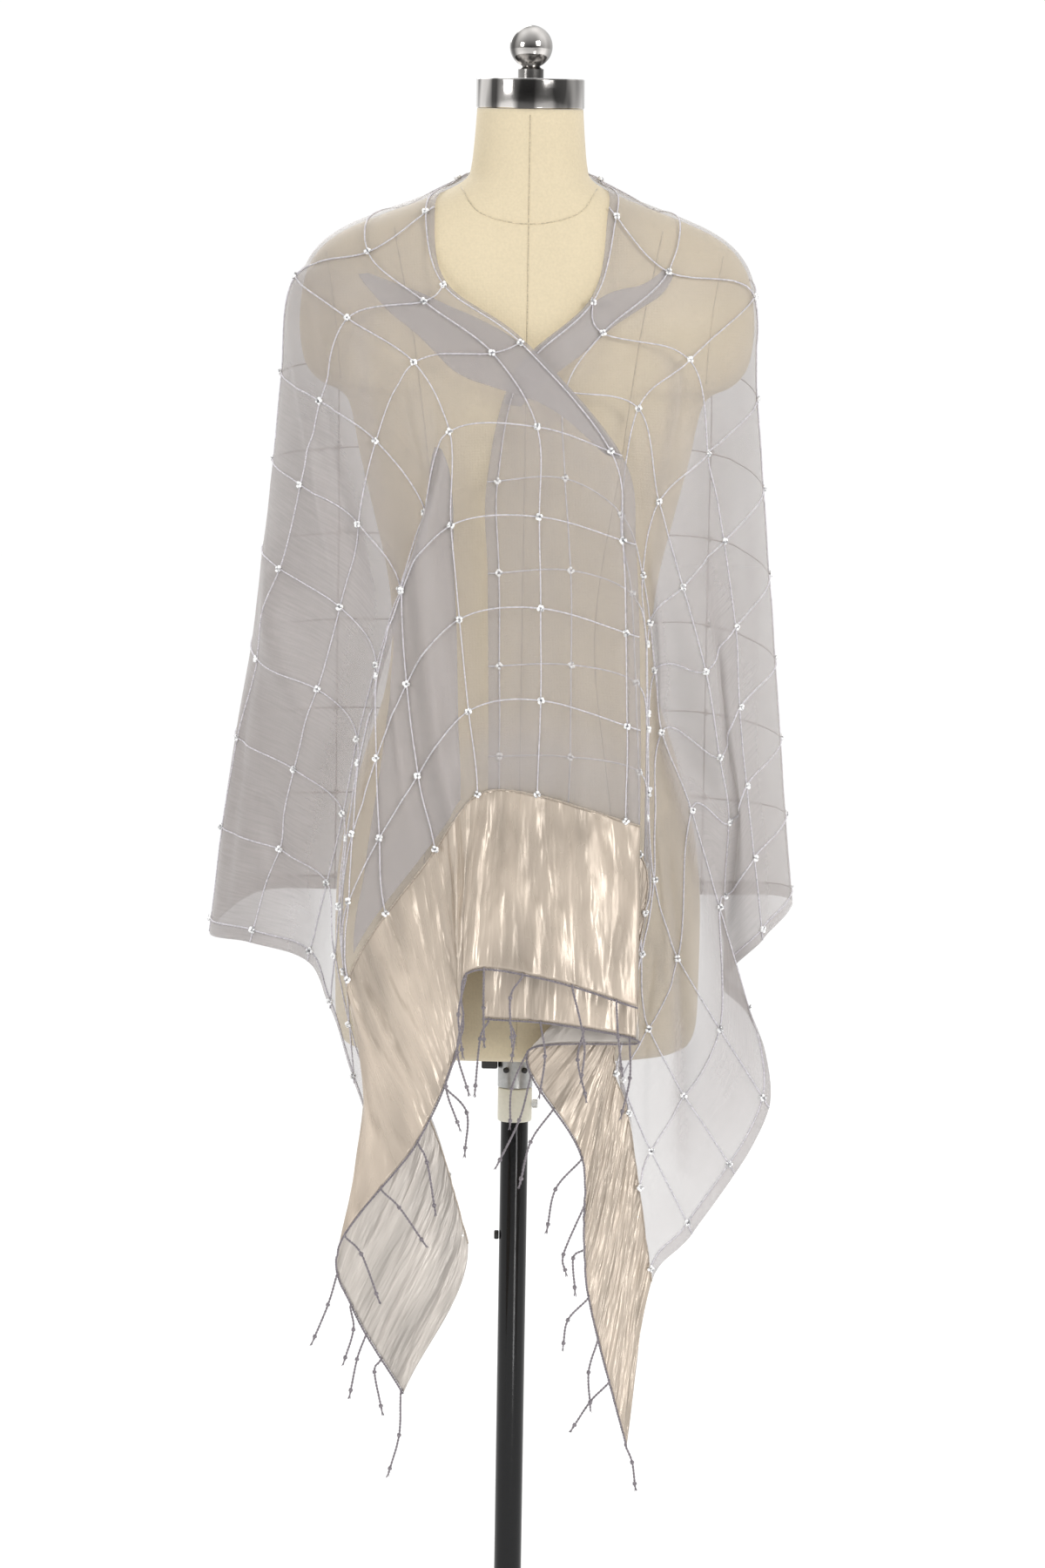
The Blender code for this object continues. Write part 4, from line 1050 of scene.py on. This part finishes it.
class DressFormSettings(bpy.types.PropertyGroup):
    """Padded form and its stand."""
    cotton_colour: bpy.props.FloatVectorProperty(
        name="Cotton Colour", description="Colour of the form's cotton cover",
        subtype="COLOR", size=3, min=0.0, max=1.0, default=(0.69, 0.59, 0.41))
    seam_radius: bpy.props.FloatProperty(
        name="Seam Radius", description="Half the thickness of the welt at each seam of the cover",
        unit="LENGTH", min=0.0002, max=0.002, default=0.0006)
    steel_colour: bpy.props.FloatVectorProperty(
        name="Steel Colour", description="Colour of the polished finial and neck cap",
        subtype="COLOR", size=3, min=0.0, max=1.0, default=(0.42, 0.405, 0.39))


class StudioSettings(bpy.types.PropertyGroup):
    """Floor and light."""
    floor_colour: bpy.props.FloatVectorProperty(
        name="Floor Colour", description="Colour of the plain floor",
        subtype="COLOR", size=3, min=0.0, max=1.0, default=(0.45, 0.45, 0.45))
    floor_glow: bpy.props.FloatProperty(
        name="Floor Glow", description="Light that the floor gives off, as a lit white sweep does",
        min=0.0, max=1.0, default=0.55)
    surround: bpy.props.FloatProperty(
        name="Surround", description="Strength of the white light from all round",
        min=0.0, max=3.0, default=0.56)
    surround_behind: bpy.props.FloatProperty(
        name="Surround Behind", description="Extra light from behind the form, taken from before it",
        min=0.0, max=1.0, default=0.46)
    surround_above: bpy.props.FloatProperty(
        name="Surround Above", description="Extra light from straight above",
        min=0.0, max=3.0, default=0.55)
    key_power: bpy.props.FloatProperty(
        name="Key Power", description="Power of the large soft light at the upper right",
        unit="POWER", min=0.0, max=2000.0, default=90.0)


class PadForm(bpy.types.Operator):
    """Makes the smooth cotton-covered form with its seams"""
    bl_idname = "shawl.pad_form"
    bl_label = "Pad the Form"

    def execute(self, context):
        padding = add_piece("form_padding", form_mesh(), (cotton_surface(),),
                            ("form_body",))
        points = []
        faces = []
        for seam in FORM_SEAMS:
            tube_parts(seam_route(seam.stops, seam.side), context.scene.dress_form.seam_radius, 5,
                       points, faces)
        # Painted shade: the welts take the cotton's colour, darkened to stand for the shade along each seam
        seam_painted_shade_colour = shade(context.scene.dress_form.cotton_colour, SEAM_PAINTED_SHADE)
        add_piece("form_seams", solid_mesh("form_seams", points, faces),
                  (thread_surface("cotton_welt", seam_painted_shade_colour),))
        return {"FINISHED"}


class FitStand(bpy.types.Operator):
    """Turns the stand's round pieces finely and gives each its finish"""
    bl_idname = "shawl.fit_stand"
    bl_label = "Fit the Stand"

    def execute(self, context):
        steel = mirror_surface()
        grey = finish_surface("grey_metal", (0.42, 0.42, 0.41), 0.34, 0.10, metallic=1.0)
        cream = finish_surface("cream_plastic", (0.72, 0.70, 0.60), 0.45, 0.04)
        black = finish_surface("black_plastic", (0.014, 0.014, 0.014), 0.45, 0.2)
        enamel = finish_surface("black_enamel", (0.006, 0.006, 0.0065), 0.12, 0.15,
                                specular_ior_level=0.28)
        clear = finish_surface("clear_plastic", (0.72, 0.72, 0.71), 0.14, 0.04,
                               transmission_weight=0.6)

        radius, low, high = node_size("finial")
        stem = 0.6 * radius
        middle = high - radius
        meet = math.degrees(math.acos(0.42))
        ball = [(0.0, high)] + round_edge(0.0, middle, radius, 84, -meet, 22)
        neck = [(stem * 0.78, middle - radius * 0.97), (stem, middle - radius * 1.04), (stem, low)]
        neck.append((0.0, low))
        fitted_round("finial", ball + neck, steel)
        radius, low, high = node_size("neck_cap")
        fitted_round("neck_cap", drum_profile(high, low, radius, 0.0016), steel)
        radius, low, high = node_size("collar")
        lip = 0.002
        profile = [(0.0, high), (radius, high), (radius, high - lip), (radius - lip, high - 2 * lip)]
        profile += [(radius - lip, low + 0.0006), (radius - lip - 0.0006, low), (0.0, low)]
        fitted_round("collar", profile, grey)
        radius, low, high = node_size("ferrule")
        fitted_round("ferrule", drum_profile(high, low, radius, 0.0015), cream)
        radius, low, high = node_size("pole")
        fitted_round("pole", drum_profile(high, low, radius, 0.0005), enamel)
        self.turn_base(enamel)

        for node, made in (("clamp", black), ("ferrule_knob", clear), ("pole_button", black)):
            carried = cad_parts[node]
            carried.data.materials.clear()
            carried.data.materials.append(made)
        self.add_screws(black)
        return {"FINISHED"}

    def turn_base(self, made):
        """The heavy round foot with its hub."""
        radius, low, high = node_size("base")
        plate = 0.012
        hub = 0.030
        edge = 0.004
        profile = [(0.0, high)] + round_edge(hub * 0.66, high - 0.0016, 0.0016, 90, 0)
        profile += [(hub * 0.76, high - 0.010), (hub * 0.80, plate + 0.012), (hub * 0.88, plate + 0.006)]
        profile += [(hub, plate + 0.002), (hub + edge, plate)]
        profile += round_edge(radius - edge, plate - edge, edge, 90, 0, 8)
        profile += [(radius, low + 0.001), (radius - 0.001, low), (0.0, low)]
        fitted_round("base", profile, made)

    def add_screws(self, made):
        """Small dark screws round the collar."""
        radius, low, high = node_size("collar")
        points = []
        faces = []
        for turn in (-60, -120, 60, 120):
            course = Vector((math.cos(math.radians(turn)), math.sin(math.radians(turn)), 0.0))
            seat = course * (radius - 0.0026) + Vector((0.0, 0.0, (low + high) / 2 - 0.002))
            tube_parts([seat, seat + course * 0.0024], 0.0026, 12, points, faces)
        add_piece("collar_screws", solid_mesh("collar_screws", points, faces), (made,))


def organza_stretches():
    """Name, first and last square, width shown and length of each stretch of sheer cloth."""
    length = (SEAM_SQUARES - SIDE_SQUARES) * SQUARE
    return (
        ("shawl_back", -SIDE_SQUARES, SIDE_SQUARES, CLOTH_WIDTH, 2 * SIDE_SQUARES * SQUARE),
        ("shawl_front_left", -SEAM_SQUARES, -SIDE_SQUARES, LEFT_FRONT_SHOWN, length),
        ("shawl_front_right", SIDE_SQUARES, SEAM_SQUARES, RIGHT_FRONT_SHOWN, length),
    )


class LayOrganza(bpy.types.Operator):
    """Lays the three stretches of sheer cloth over the form"""
    bl_idname = "shawl.lay_organza"
    bl_label = "Lay the Organza"

    def execute(self, context):
        wall = context.scene.shawl_cloth.organza_thickness
        for name, start, end, width, length in organza_stretches():
            sheet = cloth_piece(f"{name}_organza", organza_drape(), start, end, wall,
                                (organza_surface(),), (name,))
            # Sheer cloth casts no shadow, as a stand-in for light that scatters on through it
            sheet.visible_shadow = False
        return {"FINISHED"}


def strip_piece(name, rows, spots, made, replaced=(), closeness=1.0):
    """A strip of folded cloth through rows of places."""
    points = np.array([[tuple(place) for place in row] for row in spots])
    along, across = np.meshgrid(np.arange(len(spots)) * ORGANZA_STEP / SQUARE, rows, indexing="ij")
    mesh = cloth_mesh(name, points, along, across, np.full(along.shape, closeness))
    piece = add_piece(name, mesh, (made,), replaced)
    thicken(piece, bpy.context.scene.shawl_cloth.organza_thickness)
    piece.visible_shadow = False
    return piece


class TurnUnder(bpy.types.Operator):
    """Folds the turned-under cloth along the V of the neck, and the left front's deep pleat"""
    bl_idname = "shawl.turn_under"
    bl_label = "Turn Under the Neck"

    def execute(self, context):
        self.fold("neck_tuck_left_fold", LEFT_TUCK, ("neck_tuck_left",))
        self.fold("neck_tuck_right_fold", RIGHT_TUCK, ("neck_tuck_right",))
        self.fold("left_front_pleat", LEFT_PLEAT)
        return {"FINISHED"}

    def fold(self, name, tucks, replaced=()):
        """A doubled layer behind the panel, folded over at its lower edge."""
        drape = organza_drape()
        stops = list(range(len(tucks)))
        widest = max(tuck.lower - tuck.upper for tuck in tucks)
        steps = max(8, math.ceil(widest / FOLD_STEP))
        layers = [(t, FOLD_NEAR) for t in spread(0.0, 1.0, steps)]
        layers += [(1.0 + FOLD_ROUND / widest, (FOLD_NEAR + FOLD_FAR) / 2)]
        layers += [(t, FOLD_FAR) for t in spread(1.0, 0.0, steps)]
        spots = []
        for place in spread(0.0, len(tucks) - 1, FOLD_PLACES * (len(tucks) - 1)):
            along, upper, lower = (smooth_curve(stops, [row[k] for row in tucks], place) for k in range(3))
            row = []
            for t, depth in layers:
                spot, outward = on_drape(drape, along, upper + (lower - upper) * t)
                row.append(spot - outward * depth)
            spots.append(row)
        rows = [t * widest + depth for t, depth in layers]
        strip_piece(name, rows, spots, organza_surface(), replaced, FOLD_CLOSENESS)


class HemCloth(bpy.types.Operator):
    """Turns the narrow hems along both long edges and stitches them"""
    bl_idname = "shawl.hem_cloth"
    bl_label = "Hem the Cloth"

    def execute(self, context):
        drape = organza_drape()
        made = organza_surface()
        stitch_points = []
        stitch_faces = []
        for name, edge, way in (("neck_hem", 0.0, 1), ("low_hem", CLOTH_WIDTH, -1)):
            spots = []
            for along in drape.columns:
                row = []
                for across, depth in HEM_LAYERS:
                    spot, outward = on_drape(drape, along, edge + way * across)
                    row.append(spot - outward * depth)
                spots.append(row)
            strip_piece(name, [across for across, depth in HEM_LAYERS], spots, made)
            count = int(2 * SEAM_SQUARES * SQUARE / STITCH_STEP)
            for k in range(count):
                along = -SEAM_SQUARES + 2 * SEAM_SQUARES * (k + 0.25) / count
                ends = []
                for shift in (0.0, STITCH_LENGTH / SQUARE):
                    spot, outward = on_drape(drape, along + shift, edge + way * (HEM - STITCH_INSET))
                    ends.append(spot + outward * STITCH_LIFT)
                tube_parts(ends, STITCH_RADIUS, 4, stitch_points, stitch_faces)
        add_piece("hem_stitches", solid_mesh("hem_stitches", stitch_points, stitch_faces),
                  (thread_surface("hem_thread", HEM_THREAD_COLOUR),))
        return {"FINISHED"}


class LaySatin(bpy.types.Operator):
    """Lays the two crushed satin ends and sews them on"""
    bl_idname = "shawl.lay_satin"
    bl_label = "Lay the Satin Ends"

    def execute(self, context):
        cloth = context.scene.shawl_cloth
        piping = thread_surface("satin_piping", shade(cloth.satin_colour, 0.8))
        for side, hand, width in ((-1, "left", LEFT_BAND_SHOWN), (1, "right", RIGHT_BAND_SHOWN)):
            drape = satin_drape(side)
            sheet = cloth_piece(f"end_band_{hand}_satin", drape, drape.columns[0], drape.columns[-1],
                                cloth.satin_thickness, (satin_surface("reverse"), satin_surface("face")),
                                (f"end_band_{hand}",))
            points = []
            faces = []
            for lift in (-PIPING_LIFT, PIPING_LIFT):
                route = []
                for across in drape.rows:
                    spot, outward = on_drape(drape, side * (SEAM_SQUARES + PIPING_SQUARES), across)
                    route.append(spot + outward * lift)
                tube_parts(route, PIPING_RADIUS, 5, points, faces)
            name = f"satin_seam_{hand}"
            seam = add_piece(name, solid_mesh(name, points, faces), (piping,))
        return {"FINISHED"}


class CordCheck(bpy.types.Operator):
    """Runs the corded threads of the check over the sheer cloth"""
    bl_idname = "shawl.cord_check"
    bl_label = "Cord the Check"

    def execute(self, context):
        trim = context.scene.shawl_trim
        drape = organza_drape()
        made = thread_surface("check_thread", trim.thread_colour)
        points = []
        faces = []
        for number in range(1, CHECK_LINES + 1):
            across = line_place(number)
            route = [self.lifted(drape, along, across) for along in drape.columns]
            tube_parts(route, trim.thread_radius, 4, points, faces)
        add_piece("long_threads", solid_mesh("long_threads", points, faces), (made,))
        points = []
        faces = []
        for along in range(-SEAM_SQUARES + 1, SEAM_SQUARES):
            route = [self.lifted(drape, along, across) for across in drape.rows]
            tube_parts(route, trim.thread_radius, 4, points, faces)
        add_piece("cross_threads", solid_mesh("cross_threads", points, faces), (made,))
        return {"FINISHED"}

    def lifted(self, drape, along, across):
        """A place on the outside of the cloth, where the thread wanders a little."""
        wander = THREAD_WANDER * noise.noise((along * 1.7, across * 20.0, 7.7))
        across = min(max(across + wander, 0.0), CLOTH_WIDTH)
        spot, outward = on_drape(drape, along, across)
        return spot + outward * THREAD_LIFT


class SewBeads(bpy.types.Operator):
    """Sews a small cluster of beads at each crossing of the check"""
    bl_idname = "shawl.sew_beads"
    bl_label = "Sew the Beads"

    def execute(self, context):
        radius = context.scene.shawl_trim.bead_radius
        drape = organza_drape()
        draw = random.Random(41)
        points = []
        faces = []
        for along in range(-SEAM_SQUARES, SEAM_SQUARES + 1):
            for number in range(1, CHECK_LINES + 1):
                spot, outward = on_drape(drape, along, line_place(number))
                side = outward.orthogonal().normalized()
                start = draw.uniform(0.0, 2 * math.pi)
                for k in range(BEADS_TOGETHER):
                    angle = start + k * 2 * math.pi / BEADS_TOGETHER + draw.uniform(-0.3, 0.3)
                    away = Matrix.Rotation(angle, 3, outward) @ side
                    size = radius * draw.uniform(0.85, 1.1)
                    centre = spot + away * radius * 1.15 + outward * (BEAD_LIFT + size * 0.8)
                    lump_parts(centre, (size, size, size * 0.82), away.normalized(), points, faces)
        add_piece("check_beads", solid_mesh("check_beads", points, faces), (bead_surface(),))
        return {"FINISHED"}


class KnotFringe(bpy.types.Operator):
    """Twists and knots the fringe along each short end"""
    bl_idname = "shawl.knot_fringe"
    bl_label = "Knot the Fringe"

    def execute(self, context):
        self.ply = context.scene.shawl_trim.ply_radius
        made = thread_surface("fringe_twist", context.scene.shawl_trim.fringe_colour)
        self.draw = random.Random(17)
        for side, name, strands in ((-1, "fringe_left", LEFT_FRINGE), (1, "fringe_right", RIGHT_FRINGE)):
            points = []
            faces = []
            drape = satin_drape(side)
            self.heading(drape, side, points, faces)
            for strand in strands:
                self.strand(drape, side, strand, points, faces)
            add_piece(f"{name}_cords", solid_mesh(f"{name}_cords", points, faces), (made,),
                      (name,))
        return {"FINISHED"}

    def end_place(self, drape, side, across):
        """Place on the short end, with the way off the cloth."""
        edge = on_drape(drape, side * END_SQUARES, across)[0]
        inside = on_drape(drape, side * (END_SQUARES - END_REACH), across)[0]
        return edge, (edge - inside).normalized()

    def heading(self, drape, side, points, faces):
        """Two-ply cord sewn along the end."""
        route = []
        for across in drape.rows:
            edge, away = self.end_place(drape, side, across)
            route.append(edge + away * HEADING_OFFSET)
        self.twisted(route, HEADING_PITCH, points, faces)

    def strand(self, drape, side, strand, points, faces):
        """One twisted cord with a knot part way, a knot near its tip and a short tuft."""
        root, away = self.end_place(drape, side, strand.across)
        forward = Vector((0.0, -strand.forward, 0.0))
        start = root + away * CORD_START + forward * 0.4
        knot = root + Vector((strand.knot_side, 0.0, -strand.knot_drop)) + forward
        tip = root + Vector((strand.tip_side, 0.0, -strand.tip_drop)) + forward * 1.2
        stops = [0.0, 0.12, 0.55, 1.0]
        route = [smooth_curve(stops, [root, start, knot, tip], t) for t in spread(0.0, 1.0, CORD_STEPS)]
        self.twisted(route, CORD_PITCH, points, faces)
        for index in KNOT_STEPS:
            self.knot(route[index], (route[index + 1] - route[index - 1]).normalized(), points, faces)
        course = (route[-1] - route[-3]).normalized()
        for k in range(TUFT_HAIRS):
            splay = Vector((self.draw.uniform(-1, 1), self.draw.uniform(-1, 1), 0.0)) * TUFT_SPLAY
            middle = tip + course * 0.002 + splay * 0.5
            end = tip + course * self.draw.uniform(0.0032, 0.0048) + splay
            tube_parts([tip - course * 0.001, middle, end], [0.0005, 0.0004, 0.0002], 4, points, faces)

    def twisted(self, route, pitch, points, faces):
        """Two plies wound round each other along a route."""
        lengths = [0.0]
        for a, b in zip(route, route[1:]):
            lengths.append(lengths[-1] + (b - a).length)
        count = max(8, math.ceil(lengths[-1] / (pitch / TWIST_STEPS)))
        even = [smooth_curve(lengths, route, lengths[-1] * k / count) for k in range(count + 1)]
        course = (even[1] - even[0]).normalized()
        side = course.orthogonal().normalized()
        plies = ([], [])
        for k, place in enumerate(even):
            ahead = even[min(k + 1, count)] - even[max(k - 1, 0)]
            side = course.rotation_difference(ahead) @ side
            course = ahead.normalized()
            other = course.cross(side).normalized()
            turn = 2 * math.pi * k / TWIST_STEPS
            for ply, start in zip(plies, (0.0, math.pi)):
                swing = side * math.cos(turn + start) + other * math.sin(turn + start)
                ply.append(place + swing * self.ply * 0.9)
        for ply in plies:
            tube_parts(ply, self.ply, 5, points, faces)

    def knot(self, centre, course, points, faces):
        """An overhand knot: a cord that winds twice round its own strand."""
        side = course.orthogonal().normalized()
        other = course.cross(side)
        loop = []
        for t in spread(0.0, 1.0, 24):
            turn = 2 * math.pi * KNOT_TURNS * t
            reach = self.ply * KNOT_REACH
            swing = side * math.cos(turn) + other * math.sin(turn)
            loop.append(centre + swing * reach + course * (t - 0.5) * self.ply * KNOT_LENGTH)
        tube_parts(loop, self.ply * 1.05, 6, points, faces)


class SetStudio(bpy.types.Operator):
    """Sets the plain floor, the soft light and the camera"""
    bl_idname = "shawl.set_studio"
    bl_label = "Set the Studio"

    def execute(self, context):
        self.floor(context)
        self.lights(context)
        self.camera(context)
        return {"FINISHED"}

    def floor(self, context):
        """A wide plain floor just under the base."""
        corners = [(x * FLOOR_REACH, y * FLOOR_REACH, -FLOOR_DROP)
                   for x, y in ((-1, -1), (1, -1), (1, 1), (-1, 1))]
        mesh = bpy.data.meshes.new("studio_floor")
        mesh.from_pydata(corners, [], [(0, 1, 2, 3)])
        floor = bpy.data.objects.new("studio_floor", mesh)
        context.scene.collection.objects.link(floor)
        studio = context.scene.studio
        made = new_surface("plain_floor", studio.floor_colour, 0.9, emission_strength=studio.floor_glow)
        shader_of(made).inputs["Emission Color"].default_value = (1.0, 1.0, 1.0, 1.0)
        mesh.materials.append(made)

    def lights(self, context):
        """White surround, three large soft lights and a strip that only shows in glossy finishes."""
        world = bpy.data.worlds.new("white_surround")
        world.use_nodes = True
        studio = context.scene.studio
        nodes, links = world.node_tree.nodes, world.node_tree.links
        sky = nodes["Background"]
        sky.inputs["Color"].default_value = (1.0, 1.0, 1.0, 1.0)
        course = nodes.new("ShaderNodeTexCoord")
        parts = nodes.new("ShaderNodeSeparateXYZ")
        links.new(course.outputs["Generated"], parts.inputs["Vector"])
        upper = combined(world, "MAXIMUM", parts.outputs["Z"], 0.0)
        behind = combined(world, "MULTIPLY", parts.outputs["Y"], studio.surround_behind)
        above = combined(world, "MULTIPLY", upper, studio.surround_above)
        total = combined(world, "ADD", combined(world, "ADD", behind, studio.surround), above)
        links.new(total, sky.inputs["Strength"])
        context.scene.world = world
        for lamp in LAMPS:
            area = bpy.data.lights.new(lamp.name, "AREA")
            area.shape = "RECTANGLE"
            area.energy = studio.key_power * lamp.share
            area.size = lamp.width
            area.size_y = lamp.height
            light = bpy.data.objects.new(lamp.name, area)
            context.scene.collection.objects.link(light)
            light.visible_camera = False
            light.visible_diffuse = lamp.lights_cloth
            target = Vector((0.0, 0.0, min(lamp.place[2], LAMP_TARGET_TOP)))
            light.location = lamp.place
            light.rotation_euler = (target - Vector(lamp.place)).to_track_quat("-Z", "Y").to_euler()
        context.scene.view_settings.view_transform = "Standard"

    def camera(self, context):
        """The photograph's own place, tilt and lens."""
        lens = bpy.data.cameras.new("photo_camera")
        lens.sensor_fit = "VERTICAL"
        lens.sensor_height = SENSOR_HEIGHT
        lens.lens = LENS
        camera = bpy.data.objects.new("photo_camera", lens)
        context.scene.collection.objects.link(camera)
        turn = Matrix.Rotation(CAMERA_YAW, 4, "Z") @ Matrix.Rotation(math.radians(90) - CAMERA_TILT, 4, "X")
        turn = turn @ Matrix.Rotation(CAMERA_ROLL, 4, "Z")
        camera.matrix_world = Matrix.Translation(CAMERA_PLACE) @ turn
        context.scene.camera = camera


OPERATORS = (PadForm, FitStand, TurnUnder, HemCloth, CordCheck, SewBeads, LayOrganza, KnotFringe,
             LaySatin, SetStudio)
SETTINGS = (
    ("shawl_cloth", ShawlClothSettings),
    ("shawl_trim", ShawlTrimSettings),
    ("dress_form", DressFormSettings),
    ("studio", StudioSettings),
)


class ShawlPanel(bpy.types.Panel):
    """Sizes, colours and steps of the shawl and its form"""
    bl_idname = "VIEW3D_PT_fringed_shawl"
    bl_label = "Fringed Shawl"
    bl_space_type = "VIEW_3D"
    bl_region_type = "UI"
    bl_category = "Shawl"

    def draw(self, context):
        for name, group in SETTINGS:
            box = self.layout.box()
            box.label(text=name.replace("_", " ").title())
            for key in group.__annotations__:
                box.prop(getattr(context.scene, name), key)
        for step in OPERATORS:
            self.layout.operator(step.bl_idname)


def register():
    for name, group in SETTINGS:
        bpy.utils.register_class(group)
        setattr(bpy.types.Scene, name, bpy.props.PointerProperty(type=group))
    for step in OPERATORS + (ShawlPanel,):
        bpy.utils.register_class(step)


def unregister():
    for step in reversed(OPERATORS + (ShawlPanel,)):
        bpy.utils.unregister_class(step)
    for name, group in reversed(SETTINGS):
        delattr(bpy.types.Scene, name)
        bpy.utils.unregister_class(group)


def main():
    register()
    bpy.ops.shawl.pad_form()
    bpy.ops.shawl.fit_stand()
    bpy.ops.shawl.turn_under()
    bpy.ops.shawl.hem_cloth()
    bpy.ops.shawl.cord_check()
    bpy.ops.shawl.sew_beads()
    bpy.ops.shawl.lay_organza()
    bpy.ops.shawl.knot_fringe()
    bpy.ops.shawl.lay_satin()
    bpy.ops.shawl.set_studio()


if __name__ == "__main__":
    main()
